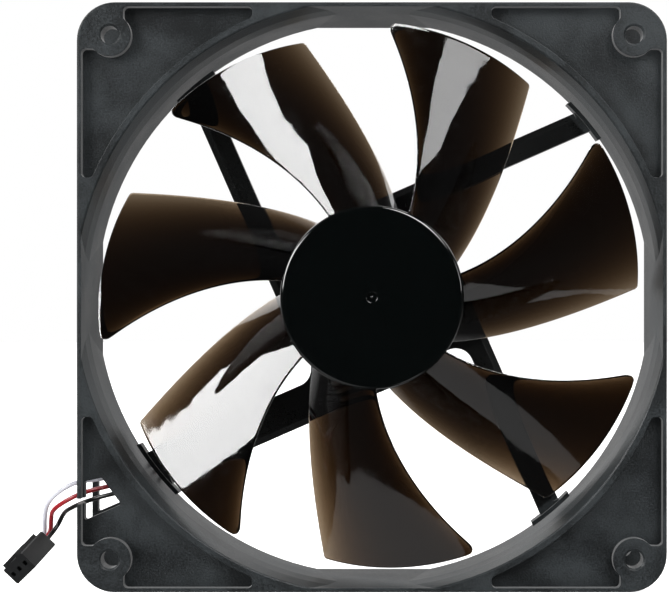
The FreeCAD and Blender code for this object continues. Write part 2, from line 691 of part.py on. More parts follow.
def blade_shape():
    """One blade as a closed solid, trimmed to the tip circle, with its leading corner rounded."""
    front, rear = blade_surfaces()
    faces = [front.toShape(), rear.toShape()]
    for first, last, along_u in ((0, 0, True), (1, 1, True), (0, 0, False), (1, 1, False)):
        edges = []
        for surface in (front, rear):
            curve = surface.vIso(first) if along_u else surface.uIso(last)
            edges.append(curve.toShape())
        faces.append(Part.makeRuledSurface(edges[0], edges[1]))
    sewn = Part.Compound(faces)
    sewn.sewShape()
    solid = Part.Solid(sewn.Shells[0])
    if solid.Volume < 0:
        solid.reverse()
    depth = sizes.frame_depth * 2
    disc = Part.makeCylinder(sizes.tip_radius, depth, Vector(0, -depth / 2, 0), AXIS)
    blade = solid.common(disc)
    corner = blade_point(sizes.tip_radius, 0.0)
    reach = sizes.blade_tip_thickness
    rounded = [edge for edge in blade.Edges
               if edge.CenterOfMass.distanceToPoint(corner) < reach / 4 and edge.Length < 2 * reach]
    blade = blade.makeFillet(sizes.tip_corner, rounded)
    blade.fix(PLACED_WITHIN, PLACED_WITHIN, PLACED_WITHIN)
    return blade.Solids[0]


def hub_body():
    """The cup of the hub: rounded front edge, and a dimple with the moulding stub in its middle."""
    body = turned("impeller_hub", [
        ("0", f"{HUB_FACE} + sizes.gate_nub_setback"),
        ("sizes.gate_nub", f"{HUB_FACE} + sizes.gate_nub_edge"),
        ("sizes.gate_nub", f"{HUB_FACE} + sizes.gate_depth"),
        ("sizes.gate_radius", f"{HUB_FACE} + sizes.gate_depth"),
        ("sizes.gate_radius", HUB_FACE),
        ("sizes.hub_radius", HUB_FACE),
        ("sizes.hub_radius", HUB_REAR),
        (CUP_BORE, HUB_REAR),
        (CUP_BORE, HUB_INSIDE),
        ("0", HUB_INSIDE),
    ])
    face = value(HUB_FACE)
    radius = value("sizes.hub_radius")
    base = body.Tip
    edge = matching_edges(
        base.Shape, lambda item: isinstance(item.Curve, Part.Circle)
        and abs(item.Curve.Radius - radius) < PLACED_WITHIN
        and abs(item.Curve.Center.y - face) < PLACED_WITHIN)
    dress(body, "Fillet", base, edge, "Radius", "sizes.hub_edge")
    return body


def make_impeller():
    """Hub and blades, moulded in one piece."""
    hub = hub_body()
    shape = blade_shape()
    blades = []
    for number in range(BLADES):
        blade = doc.addObject("Part::Feature", f"blade_{number}")
        blade.Shape = shape
        blade.Placement = FreeCAD.Placement(
            Vector(0, 0, 0), FreeCAD.Rotation(AXIS, -number * 360.0 / BLADES))
        blades.append(blade)
    return boolean("MultiFuse", "impeller", [hub] + blades)


# ---------------------------------------------------------------- turning parts of the motor
def make_rotor_parts():
    yoke_rear = f"({HUB_INSIDE} + sizes.yoke_depth)"
    magnet_front = f"({YOKE_INSIDE} + sizes.magnet_setback)"
    bush_rear = f"({YOKE_INSIDE} + sizes.bush_depth)"
    groove = "(sizes.shaft_radius - sizes.groove_depth)"
    clip_front = f"({BEARING_REAR} + sizes.washer_thickness)"
    clip_rear = f"({clip_front} + sizes.clip_thickness)"
    washer_rear = f"({BEARING_FRONT} - sizes.seal_thickness - sizes.washer_room)"

    yoke = turned("rotor_yoke", [
        ("sizes.shaft_radius", HUB_INSIDE), (CUP_BORE, HUB_INSIDE), (CUP_BORE, yoke_rear),
        (YOKE_BORE, yoke_rear), (YOKE_BORE, YOKE_INSIDE), ("sizes.shaft_radius", YOKE_INSIDE),
    ])
    magnet = ring("magnet_ring", MAGNET_BORE, YOKE_BORE,
                  magnet_front, f"{magnet_front} + sizes.magnet_depth")
    bush = ring("shaft_bush", "sizes.shaft_radius", "sizes.bush_radius", YOKE_INSIDE, bush_rear)
    shaft = turned("shaft", [
        ("0", HUB_INSIDE), ("sizes.shaft_radius", HUB_INSIDE),
        ("sizes.shaft_radius", clip_front), (groove, clip_front),
        (groove, clip_rear), ("sizes.shaft_radius", clip_rear),
        ("sizes.shaft_radius", f"{SHAFT_REAR} - sizes.shaft_point"),
        ("sizes.shaft_tip_radius", SHAFT_REAR), ("0", SHAFT_REAR),
    ])
    washer = ring("wear_washer", "sizes.shaft_radius", "sizes.tube_bore - sizes.clear_fit",
                  f"{washer_rear} - sizes.washer_thickness", washer_rear)
    clip = ring("retaining_clip", groove, "sizes.clip_radius", clip_front, clip_rear)
    sketch = face_sketch(clip, clip_rear)
    half_slot = "sizes.clip_slot / 2"
    rectangle(sketch, "0", f"sizes.clip_radius + {PAST}", f"-{half_slot}", half_slot)
    cut_away(clip, sketch, clip_front, clip_rear)
    return [yoke, magnet, bush, shaft, washer, clip]


# ---------------------------------------------------------------- standing parts of the motor
def make_bearing_parts():
    bore = "(sizes.shaft_radius + sizes.running_fit)"
    tube = ring("bearing_tube", "sizes.tube_bore", "sizes.tube_radius", TUBE_FRONT, LABEL_SEAT)
    bearing = ring("sleeve_bearing", bore, "sizes.tube_bore", BEARING_FRONT, BEARING_REAR)
    seal = ring("oil_seal_ring", "sizes.shaft_radius + sizes.clear_fit", "sizes.tube_bore",
                f"{BEARING_FRONT} - sizes.seal_thickness", BEARING_FRONT)
    cap = ring("thrust_cap", "0", "sizes.tube_bore", CAP_FRONT, LABEL_SEAT)
    label = ring("base_label", "0", "sizes.label_radius",
                 LABEL_SEAT, f"{LABEL_SEAT} + sizes.label_thickness")
    return [tube, bearing, seal, cap, label]


def make_core():
    """Steel laminations: a hub, four teeth and four pole shoes."""
    body = new_body("stator_core")
    ring_inner = f"({POLE_RADIUS} - sizes.core_ring)"
    half = "(sizes.tooth_width / 2)"
    reach = f"({POLE_RADIUS} - sizes.core_ring / 2)"
    sketch = face_sketch(body, CORE_REAR)
    polygon(sketch, cross_outline(half, reach))
    pad(body, sketch, CORE_FRONT, CORE_REAR)
    sketch = face_sketch(body, CORE_REAR)
    circle(sketch, "sizes.core_hub_radius")
    pad(body, sketch, CORE_FRONT, CORE_REAR)
    sketch = face_sketch(body, CORE_REAR)
    circle(sketch, POLE_RADIUS)
    circle(sketch, ring_inner)
    pad(body, sketch, CORE_FRONT, CORE_REAR)
    sketch = face_sketch(body, CORE_REAR, "45")
    half_slot = "sizes.pole_slot / 2"
    rectangle(sketch, f"{ring_inner} - {PAST}", f"{POLE_RADIUS} + {PAST}", f"-{half_slot}", half_slot)
    ring_pattern(body, cut_away(body, sketch, CORE_FRONT, CORE_REAR), POLES)
    sketch = face_sketch(body, CORE_REAR)
    circle(sketch, "sizes.tube_radius")
    cut_away(body, sketch, CORE_FRONT, CORE_REAR)
    return body


def cross_outline(half, reach):
    """Twelve corners of an upright cross."""
    corners = []
    for x_sign, z_sign in (("", ""), ("-", ""), ("-", "-"), ("", "-")):
        arm = [(f"{x_sign}{reach}", f"{z_sign}{half}"),
               (f"{x_sign}{half}", f"{z_sign}{half}"),
               (f"{x_sign}{half}", f"{z_sign}{reach}")]
        corners += arm if x_sign == z_sign else arm[::-1]
    return corners


def make_bobbin(label, core, front, rear, collar_front, collar_rear):
    """Half of the plastic bobbin, round the teeth, with a collar round the bearing tube."""
    body = new_body(f"{label}_block")
    half = "(sizes.tooth_width / 2 + sizes.insulation)"
    reach = f"({POLE_RADIUS} - sizes.core_ring)"
    sketch = face_sketch(body, rear)
    polygon(sketch, cross_outline(half, reach))
    pad(body, sketch, front, rear)
    sketch = face_sketch(body, collar_rear)
    circle(sketch, "sizes.core_hub_radius + sizes.insulation")
    pad(body, sketch, collar_front, collar_rear)
    sketch = face_sketch(body, collar_rear)
    circle(sketch, "sizes.tube_radius")
    cut_away(body, sketch, collar_front, collar_rear)
    return boolean("Cut", label, [body, core])


def pin_places():
    for number in range(POLES):
        turn = 45 + number * QUARTER
        yield (f"sizes.pin_circle * cos({turn} deg)", f"sizes.pin_circle * sin({turn} deg)")


def make_coil(number):
    """One winding, a rounded ring round a tooth."""
    body = new_body(f"coil_{number}")
    start = "(sizes.core_hub_radius + sizes.insulation)"
    half = "(sizes.tooth_width / 2 + sizes.insulation)"
    sketch = new_sketch(body, "YZ_Plane", start)
    front = f"({CORE_FRONT} - sizes.bobbin_cap)"
    rear = f"({CORE_REAR} + sizes.bobbin_cap)"
    build = "sizes.coil_build"
    rectangle(sketch, f"{front} - {build}", f"{rear} + {build}",
              f"-{half} - {build}", f"{half} + {build}")
    coil = extrude(body, "Pad", sketch, "sizes.coil_length")
    corners = matching_edges(coil.Shape, lambda edge: abs(edge.tangentAt(0).x) > 1 - PLACED_WITHIN)
    dress(body, "Fillet", coil, corners, "Radius", "sizes.coil_corner")
    sketch = new_sketch(body, "YZ_Plane", start)
    rectangle(sketch, front, rear, f"-{half}", half)
    window = extrude(body, "Pocket", sketch, "sizes.coil_length", reverse=True)
    body.Placement = FreeCAD.Placement(
        Vector(0, 0, 0), FreeCAD.Rotation(AXIS, -number * QUARTER))
    if window.Shape.Volume >= coil.Shape.Volume:
        raise ValueError("the winding has no window")
    return body


def make_pin(number, x, z):
    body = new_body(f"winding_pin_{number}")
    rear = f"{BOARD_REAR} + sizes.pin_tail"
    sketch = face_sketch(body, rear)
    circle(sketch, "sizes.pin_radius", x, z)
    pad(body, sketch, f"{CORE_REAR} + sizes.bobbin_cap", rear)
    return body


def make_board():
    body = new_body("circuit_board")
    sketch = face_sketch(body, BOARD_REAR)
    circle(sketch, "sizes.board_radius")
    circle(sketch, "sizes.board_bore")
    for x, z in pin_places():
        circle(sketch, "sizes.pin_radius", x, z)
    pad(body, sketch, BOARD_FRONT, BOARD_REAR)
    return body


def make_block(label, centre, size, front, rear):
    """A small board part: centre and size are (x, z) pairs in mm on the board."""
    body = new_body(label)
    sketch = face_sketch(body, rear)
    (x, z), (width, height) = centre, size
    rectangle(sketch, f"{x - width / 2}", f"{x + width / 2}",
              f"{z - height / 2}", f"{z + height / 2}")
    pad(body, sketch, front, rear)
    return body


def make_stator():
    core = make_core()
    lap = "sizes.bobbin_lap"
    cap = "sizes.bobbin_cap"
    bobbin_front = make_bobbin(
        "insulator_front", core, f"{CORE_FRONT} - {cap}", f"{CORE_FRONT} + {lap}",
        f"{CORE_FRONT} - {cap}", f"{CORE_FRONT} + {lap}")
    rear_solid = make_bobbin(
        "insulator_rear_solid", core, f"{CORE_REAR} - {lap}", f"{CORE_REAR} + {cap}",
        f"{CORE_REAR} - {lap}", BOARD_FRONT)
    coils = boolean("Compound", "winding_coils", [make_coil(number) for number in range(POLES)])
    pin_bodies = [make_pin(number, x, z) for number, (x, z) in enumerate(pin_places())]
    pins = boolean("Compound", "winding_pins", pin_bodies)
    bobbin_rear = boolean("Cut", "insulator_rear", [rear_solid, pins])
    return [core, bobbin_front, bobbin_rear, coils, pins]


# Square parts on the rear of the board: centre, size and height.
BOARD_PARTS = {
    "driver_chip": ((0.0, 11.2), (5.0, 4.0), 1.5),
    "polarity_diode": ((10.5, 4.5), (2.6, 1.6), 1.1),
}
# The sensor stands on the front of the board, towards the magnet.
SENSOR = ((9.9, 9.9), (3.0, 3.0), 1.5)
CAPACITOR_PLACE = ("-9.2", "6.6")
CAPACITOR_RADIUS = "2.0"
CAPACITOR_HEIGHT = 2.6
RESISTORS = 3
FIRST_RESISTOR = (11.0, -1.5)
RESISTOR_PITCH = 2.2
RESISTOR_SIZE = (2.0, 1.25)
RESISTOR_HEIGHT = 0.5


def make_electronics():
    board = make_board()
    centre, size, height = SENSOR
    sensor = make_block("hall_sensor", centre, size, f"{BOARD_FRONT} - {height}", BOARD_FRONT)
    rear_parts = [make_block(label, centre, size, BOARD_REAR, f"{BOARD_REAR} + {height}")
                  for label, (centre, size, height) in BOARD_PARTS.items()]
    capacitor = new_body("smoothing_capacitor")
    capacitor_rear = f"{BOARD_REAR} + {CAPACITOR_HEIGHT}"
    sketch = face_sketch(capacitor, capacitor_rear)
    circle(sketch, CAPACITOR_RADIUS, *CAPACITOR_PLACE)
    pad(capacitor, sketch, BOARD_REAR, capacitor_rear)
    resistors = []
    for number in range(RESISTORS):
        x, z = FIRST_RESISTOR
        resistors.append(make_block(
            f"resistor_{number}", (x, z - RESISTOR_PITCH * number), RESISTOR_SIZE,
            BOARD_REAR, f"{BOARD_REAR} + {RESISTOR_HEIGHT}"))
    resistor_group = boolean("Compound", "board_resistors", resistors)
    return [board, sensor, *rear_parts, capacitor, resistor_group]


# ---------------------------------------------------------------- leads and plug
def channel_point(along, across, depth):
    """A place in the cable strut: along it, across it from the axis, and in depth."""
    turn = math.radians(value(CABLE_ANGLE))
    x = along * math.cos(turn) - across * math.sin(turn)
    z = along * math.sin(turn) + across * math.cos(turn)
    return Vector(x, depth, z)


# Share of the shorter run that an arc takes up.
ARC_SHARE = 0.45


def rounded_path(points):
    """Straight runs joined by tangent arcs that take up most of their shorter run."""
    edges = []
    radii = []
    start = points[0]
    for before, corner, after in zip(points, points[1:], points[2:]):
        inward = (corner - before).normalize()
        outward = (after - corner).normalize()
        half_turn = inward.getAngle(outward) / 2
        shorter = min((corner - before).Length, (after - corner).Length)
        trim = ARC_SHARE * shorter
        radii.append(trim / math.tan(half_turn))
        arc_start = corner - inward * trim
        arc_end = corner + outward * trim
        middle = (arc_start + arc_end) / 2 - corner
        to_centre = radii[-1] / math.cos(half_turn)
        sagitta = to_centre - radii[-1]
        arc_middle = corner + middle.normalize() * sagitta
        edges.append(Part.LineSegment(start, arc_start).toShape())
        edges.append(Part.Arc(arc_start, arc_middle, arc_end).toShape())
        start = arc_end
    edges.append(Part.LineSegment(start, points[-1]).toShape())
    return Part.Wire(edges), radii


def make_lead(label, points):
    """One lead as a round tube along its route."""
    path, radii = rounded_path(points)
    radius = sizes.lead_diameter / 2
    direction = points[1] - points[0]
    section = Part.Wire(Part.makeCircle(radius, points[0], direction))
    tube = path.makePipeShell([section], True, False)
    expected = math.pi * radius ** 2 * path.Length
    print(f"{label}: length {path.Length:.1f}, smallest radius {min(radii):.1f}, "
          f"volume {tube.Volume / expected:.4f} of section times length")
    print("   radii " + " ".join(f"{item:.1f}" for item in radii))
    lead = doc.addObject("Part::Feature", label)
    lead.Label = label
    lead.Shape = tube
    lead.Placement = FreeCAD.Placement()
    return lead


LEADS = ("white", "red", "black")
# Held stretch, in mm: the first lead's solder joint along the strut and across it from the
# middle of the channel, and the steps from one lead to the next.
FIRST_JOINT = (4.0, -4.2)
JOINT_STEP = (-2.5, 1.5)
JOINT_HEIGHT = 2.3
# Where a lead dips under the board's rim: beyond its joint, aside of its lane, and over the ledge.
DIP_ALONG = 5.5
DIP_ACROSS = -0.8
LEDGE_ROOM = 0.45
# Places along the channel, and how far the lead lifts in the middle of it.
CHANNEL_PLACES = (18.0, 34.0, 50.0)
CHANNEL_LIFT = 0.12
# The free stretch starts this far inwards from the end block, and its first run is this long.
EXIT_INWARDS = 4.0
FIRST_RUN = 4.6
# Last run of a free lead, straight into the plug.
LAST_RUN = 6.2
# The plug: middle of its socket face, from the lower left corner of the frame, the direction
# that the sockets point in, and their row.
PLUG_PLACE = Vector(-15.5, -4.0, 4.4)
PLUG_POINTS_TO = Vector(-0.26, -0.89, -0.37).normalize()
PLUG_ROW = Vector(-0.69, 0.28, -0.667)
# Free stretch of each lead, chosen by hand. The points in the window are measured from the
# axis and the exhaust face, and those outside from the frame's lower left corner.
IN_WINDOW = {
    "white": [(-61.6, -3.9, -43.9), (-66.6, -8.7, -44.6)],
    "red": [(-61.0, -4.3, -45.9), (-66.4, -9.5, -46.6)],
    "black": [(-60.0, -4.7, -47.7), (-65.6, -10.1, -48.5)],
}
OUTSIDE = {
    "white": [(-2.2, 1.2, 25.1), (-6.8, 1.6, 22.8), (-10.4, 4.4, 19.6), (-12.0, 8.2, 15.6)],
    "red": [(-1.8, 0.6, 22.1), (-6.2, 1.6, 19.7), (-9.2, 5.0, 17.6), (-10.4, 8.6, 15.6)],
    "black": [(-0.9, 0.4, 20.0), (-4.6, 3.4, 18.2), (-7.1, 7.8, 16.6)],
}


def frame_corner():
    """Lower left corner of the frame, half-way along its depth."""
    side = value(HALF_SIDE)
    return Vector(-side, 0, -side)


def plug_placement():
    row = (PLUG_ROW - PLUG_POINTS_TO * PLUG_ROW.dot(PLUG_POINTS_TO)).normalize()
    across = PLUG_POINTS_TO.cross(row)
    return FreeCAD.Placement(
        frame_corner() + PLUG_PLACE, FreeCAD.Rotation(row, across, PLUG_POINTS_TO, "ZXY"))


def socket_places():
    """Places along the row, in the order of the leads, white furthest along it."""
    return {"white": 1, "red": 0, "black": -1}


def make_leads():
    leads = []
    placement = plug_placement()
    channel_depth = value(f"{CHANNEL_FLOOR} + sizes.lead_diameter")
    middle = value(f"({CHANNEL_INNER} + {CHANNEL_OUTER}) / 2")
    board = value(BOARD_REAR)
    ledge = value(f"{BASE_FRONT} + {LEDGE_ROOM} + sizes.lead_diameter / 2")
    exit_along = value(f"{BLOCK_RADIUS} - {EXIT_INWARDS}")
    for number, name in enumerate(LEADS):
        across = middle + (number - 1) * sizes.lead_pitch
        joint_along = FIRST_JOINT[0] + JOINT_STEP[0] * number
        joint_across = middle + FIRST_JOINT[1] + JOINT_STEP[1] * number
        leaves = channel_point(exit_along, across, channel_depth)
        held = [
            channel_point(joint_along, joint_across, board),
            channel_point(joint_along, joint_across, board + JOINT_HEIGHT),
            channel_point(joint_along + DIP_ALONG, across + DIP_ACROSS, ledge),
            channel_point(CHANNEL_PLACES[0], across, channel_depth),
            channel_point(CHANNEL_PLACES[1], across, channel_depth + CHANNEL_LIFT),
            channel_point(CHANNEL_PLACES[2], across, channel_depth),
            leaves,
        ]
        leads.append(make_lead(f"wire_{name}_held", held))
        tail = placement.multVec(
            Vector(socket_places()[name] * sizes.plug_pitch, 0, -sizes.plug_length))
        behind = tail - PLUG_POINTS_TO * LAST_RUN
        beyond = leaves + (held[-1] - held[-2]).normalize() * FIRST_RUN
        in_window = [Vector(*point) + Vector(0, value(EXHAUST), 0) for point in IN_WINDOW[name]]
        outside = [Vector(*point) + frame_corner() for point in OUTSIDE[name]]
        route = [leaves, beyond] + in_window + outside + [behind, tail]
        leads.append(make_lead(f"wire_{name}", route))
    return leads


def make_plug():
    """Three-way plug housing with its three terminals. Local Z points out of the sockets."""
    housing = new_body("connector_housing")
    half_width = "(sizes.plug_pitch + sizes.plug_cavity / 2 + sizes.plug_end_wall)"
    half_thickness = "sizes.plug_thickness / 2"
    tail = "-sizes.plug_length"
    sketch = new_sketch(housing, "XY_Plane", tail)
    rectangle(sketch, f"-{half_width}", half_width, f"-{half_thickness}", half_thickness)
    block = extrude(housing, "Pad", sketch, "sizes.plug_length")
    long_edges = matching_edges(block.Shape, lambda edge: edge.Length > sizes.plug_length - PLACED_WITHIN)
    dress(housing, "Chamfer", block, long_edges, "Size", "sizes.plug_bevel")
    for centre in ("-sizes.plug_rib_place", "sizes.plug_rib_place"):
        sketch = new_sketch(housing, "XY_Plane", "-sizes.plug_rib_length")
        half_rib = "sizes.plug_rib_width / 2"
        rectangle(sketch, f"{centre} - {half_rib}", f"{centre} + {half_rib}",
                  f"-{half_thickness} - sizes.plug_rib_height",
                  f"-{half_thickness} + sizes.plug_bevel")
        extrude(housing, "Pad", sketch, "sizes.plug_rib_length")
    for size, along, length in (
            ("sizes.plug_mouth", f"{tail} / 2", "sizes.plug_length"),
            ("sizes.plug_cavity", tail, "sizes.plug_length - sizes.plug_lip")):
        for place in (-1, 0, 1):
            sketch = new_sketch(housing, "XY_Plane", along)
            centre = f"({place} * sizes.plug_pitch)"
            half = f"{size} / 2"
            rectangle(sketch, f"{centre} - {half}", f"{centre} + {half}", f"-{half}", half)
            before = housing.Shape.Volume
            extrude(housing, "Pocket", sketch, length, reverse=True)
            if housing.Shape.Volume >= before:
                raise ValueError("a socket of the plug was not cut")
    housing.Placement = plug_placement()

    terminals = []
    for place in (-1, 0, 1):
        terminal = new_body(f"terminal_{place + 1}")
        centre = f"({place} * sizes.plug_pitch)"
        half = "sizes.plug_cavity / 2"
        crimp_front = f"({tail} + sizes.crimp_length)"
        sketch = new_sketch(terminal, "XY_Plane", crimp_front)
        rectangle(sketch, f"{centre} - {half}", f"{centre} + {half}", f"-{half}", half)
        extrude(terminal, "Pad", sketch, f"-sizes.plug_lip - {crimp_front}")
        sketch = new_sketch(terminal, "XY_Plane", tail)
        circle(sketch, f"{half} - sizes.crimp_room", centre, "0")
        extrude(terminal, "Pad", sketch, "sizes.crimp_length")
        sketch = new_sketch(terminal, "XY_Plane", "-sizes.plug_lip - sizes.terminal_depth")
        slot = "sizes.terminal_opening / 2"
        rectangle(sketch, f"{centre} - {slot}", f"{centre} + {slot}", f"-{slot}", slot)
        before = terminal.Shape.Volume
        extrude(terminal, "Pocket", sketch, "sizes.terminal_depth", reverse=True)
        if terminal.Shape.Volume >= before:
            raise ValueError("a terminal has no opening")
        terminals.append(terminal)
    group = boolean("Compound", "connector_terminals", terminals)
    group.Placement = plug_placement()
    return [housing, group]


# ---------------------------------------------------------------- whole fan
def check(pieces):
    """Nothing in the document has failed, and every piece has a sound shape."""
    doc.recompute()
    for item in doc.Objects:
        if {"Invalid", "Error"} & set(item.State):
            raise ValueError(f"{item.Label} failed: {item.State}")
    for piece in pieces:
        if piece.Shape.isNull() or not piece.Shape.isValid():
            raise ValueError(f"{piece.Label} has no sound shape")


nodes = [make_frame(), make_impeller()]
nodes += make_rotor_parts()
nodes += make_bearing_parts()
nodes += make_stator()
nodes += make_electronics()
nodes += make_leads()
nodes += make_plug()
check(nodes)
os.makedirs("parts", exist_ok=True)
for node in nodes:
    node.Shape.exportStep(f"parts/{node.Label}.step")
    print(f"{node.Label}: {len(node.Shape.Solids)} solid(s), {node.Shape.Volume:.1f} mm3")
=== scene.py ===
"""Case fan, 140 mm: the looks of its pieces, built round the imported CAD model.

Every piece is in metres in the frame of the CAD: X to the right, Y through the fan from the
intake to the exhaust, Z up, and the origin in the middle of the frame.
"""
import json
import math

import bmesh
import bpy
from bpy.props import FloatProperty, IntProperty, PointerProperty, StringProperty
from mathutils import Matrix, Vector

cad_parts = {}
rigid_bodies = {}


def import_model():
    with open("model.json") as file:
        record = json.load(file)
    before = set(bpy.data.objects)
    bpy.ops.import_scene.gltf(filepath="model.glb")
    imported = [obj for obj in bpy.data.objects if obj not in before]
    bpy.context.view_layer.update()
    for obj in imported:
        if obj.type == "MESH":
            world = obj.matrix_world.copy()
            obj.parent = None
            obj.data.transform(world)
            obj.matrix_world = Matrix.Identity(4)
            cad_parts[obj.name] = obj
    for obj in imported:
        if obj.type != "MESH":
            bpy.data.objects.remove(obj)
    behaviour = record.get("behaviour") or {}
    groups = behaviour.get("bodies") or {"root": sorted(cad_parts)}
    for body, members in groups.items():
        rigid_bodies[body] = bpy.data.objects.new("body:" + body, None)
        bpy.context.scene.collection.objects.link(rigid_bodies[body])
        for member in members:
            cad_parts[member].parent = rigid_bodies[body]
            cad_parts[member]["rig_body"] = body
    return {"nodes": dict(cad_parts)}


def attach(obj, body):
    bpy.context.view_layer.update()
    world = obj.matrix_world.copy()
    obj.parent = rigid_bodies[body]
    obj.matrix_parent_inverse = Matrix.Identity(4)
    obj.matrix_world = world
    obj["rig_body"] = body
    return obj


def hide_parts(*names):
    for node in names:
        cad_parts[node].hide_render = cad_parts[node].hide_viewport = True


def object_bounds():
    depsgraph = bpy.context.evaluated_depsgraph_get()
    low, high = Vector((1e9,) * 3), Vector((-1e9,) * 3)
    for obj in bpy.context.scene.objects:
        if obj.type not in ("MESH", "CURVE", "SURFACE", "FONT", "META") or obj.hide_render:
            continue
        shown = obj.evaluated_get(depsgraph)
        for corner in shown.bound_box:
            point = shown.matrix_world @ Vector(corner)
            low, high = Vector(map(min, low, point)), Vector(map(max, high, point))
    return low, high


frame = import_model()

bl_info = {
    "name": "Case Fan",
    "version": (1, 0, 0),
    "blender": (4, 5, 0),
    "location": "View3D > Sidebar > Case Fan",
    "description": "Builds the looks of a 140 mm case fan round its CAD model",
    "category": "Add Mesh",
}

CAD_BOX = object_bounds()
MM = 0.001
# The intake face, across the Y axis.
INTAKE = CAD_BOX[0].y


# ---------------------------------------------------------------- colours and nodes
def linear(hexadecimal, alpha=1.0):
    """An sRGB hex colour as linear RGBA."""
    parts = [int(hexadecimal[place:place + 2], 16) / 255 for place in (0, 2, 4)]
    parts = [part / 12.92 if part <= 0.04045 else ((part + 0.055) / 1.055) ** 2.4
             for part in parts]
    return (*parts, alpha)


def node(tree, kind, inputs=(), **settings):
    """Adds a node with its settings, and its inputs as values or as (node, output) links."""
    made = tree.nodes.new(kind)
    for name, setting in settings.items():
        setattr(made, name, setting)
    for name, value in dict(inputs).items():
        if isinstance(value, tuple) and isinstance(value[0], bpy.types.Node):
            tree.links.new(value[0].outputs[value[1]], made.inputs[name])
        else:
            made.inputs[name].default_value = value
    return made


def new_material(name):
    """An empty material, its tree and its Principled shader."""
    material = bpy.data.materials.new(name)
    material.use_nodes = True
    tree = material.node_tree
    tree.nodes.clear()
    shader = node(tree, "ShaderNodeBsdfPrincipled")
    output = node(tree, "ShaderNodeOutputMaterial")
    tree.links.new(shader.outputs["BSDF"], output.inputs["Surface"])
    return material, tree, shader


def set_shader(shader, **inputs):
    """Sets the shader's own sockets, named with _ for each space."""
    for name, value in inputs.items():
        shader.inputs[name.replace("_", " ")].default_value = value


def textured(name, dark, light, roughness, grain, depth, patch=12 * MM, metallic=0.0, edge=0.0):
    """A surface with patches of two close colours, uneven roughness and a fine relief.

    The grain and the patches are that many metres across, the relief is that deep, and the
    edge is the radius that sharp edges seem to have.
    """
    material, tree, shader = new_material(name)
    place = node(tree, "ShaderNodeTexCoord")
    patches = node(tree, "ShaderNodeTexNoise", {
        "Vector": (place, "Object"), "Scale": 1 / patch, "Detail": 4.0})
    fine = node(tree, "ShaderNodeTexNoise", {
        "Vector": (place, "Object"), "Scale": 1 / grain, "Detail": 3.0, "Roughness": 0.6})
    both = node(tree, "ShaderNodeMath", {0: (patches, "Fac"), 1: (fine, "Fac")}, operation="ADD")
    share = node(tree, "ShaderNodeMapRange", {
        "Value": (both, 0), "From Min": 0.82, "From Max": 1.18})
    colour = node(tree, "ShaderNodeMix", {
        0: (share, "Result"), 6: linear(dark), 7: linear(light)}, data_type="RGBA")
    tree.links.new(colour.outputs[2], shader.inputs["Base Color"])
    spread = node(tree, "ShaderNodeMapRange", {
        "Value": (share, "Result"), "To Min": roughness * 0.88,
        "To Max": min(1.0, roughness * 1.14)})
    tree.links.new(spread.outputs["Result"], shader.inputs["Roughness"])
    bump = node(tree, "ShaderNodeBump", {"Height": (fine, "Fac"), "Distance": depth})
    tree.links.new(bump.outputs["Normal"], shader.inputs["Normal"])
    if edge:
        rounded = node(tree, "ShaderNodeBevel", {"Radius": edge}, samples=6)
        tree.links.new(rounded.outputs["Normal"], bump.inputs["Normal"])
    set_shader(shader, Metallic=metallic)
    return material, tree, shader


# ---------------------------------------------------------------- meshes
def mesh_object(name, vertices, faces):
    """A new object in the scene with that mesh."""
    mesh = bpy.data.meshes.new(name)
    mesh.from_pydata([tuple(vertex) for vertex in vertices], [], faces)
    made = bpy.data.objects.new(name, mesh)
    bpy.context.scene.collection.objects.link(made)
    return made


def shade(piece, angle=30.0):
    """Smooth shading, with faces that meet at more than the angle kept apart."""
    mesh = piece.data
    mesh.polygons.foreach_set("use_smooth", [True] * len(mesh.polygons))
    mesh.set_sharp_from_angle(angle=math.radians(angle))


def turned(name, profile, steps):
    """A solid of revolution about the Y axis from (radius, y) points, closed at the axis."""
    vertices, faces, rings = [], [], []
    for radius, along in profile:
        if radius == 0:
            rings.append([len(vertices)])
            vertices.append((0, along, 0))
            continue
        rings.append([len(vertices) + step for step in range(steps)])
        for step in range(steps):
            turn = 2 * math.pi * step / steps
            vertices.append((radius * math.cos(turn), along, radius * math.sin(turn)))
    for first, second in zip(rings, rings[1:]):
        for step in range(steps):
            after = (step + 1) % steps
            corners = [first[step % len(first)], first[after % len(first)],
                       second[after % len(second)], second[step % len(second)]]
            faces.append(list(dict.fromkeys(corners)))
    return mesh_object(name, vertices, faces)


def arc(centre, radius, first, last, steps):
    """Points of a round bend in a profile, from angle first to angle last in degrees."""
    points = []
    for step in range(steps + 1):
        turn = math.radians(first + (last - first) * step / steps)
        points.append((centre[0] + radius * math.cos(turn), centre[1] + radius * math.sin(turn)))
    return points


def outwards(piece):
    """Merges doubles and points every face outwards."""
    cleaned = bmesh.new()
    cleaned.from_mesh(piece.data)
    bmesh.ops.remove_doubles(cleaned, verts=cleaned.verts, dist=1e-7)
    bmesh.ops.recalc_face_normals(cleaned, faces=cleaned.faces)
    cleaned.to_mesh(piece.data)
    cleaned.free()


def plain_copy(piece, name):
    """The evaluated piece as a new object with a plain mesh; the old one is removed."""
    bpy.context.view_layer.update()
    evaluated = piece.evaluated_get(bpy.context.evaluated_depsgraph_get())
    mesh = bpy.data.meshes.new_from_object(evaluated)
    mesh.name = name
    bpy.data.objects.remove(piece)
    made = bpy.data.objects.new(name, mesh)
    bpy.context.scene.collection.objects.link(made)
    return made


def dress_node(name, material):
    """Gives a CAD node that stays as it is its material."""
    piece = frame["nodes"][name]
    piece.data.materials.clear()
    piece.data.materials.append(material)


def body_of(name):
    """The body that a CAD node belongs to."""
    return frame["nodes"][name]["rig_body"]


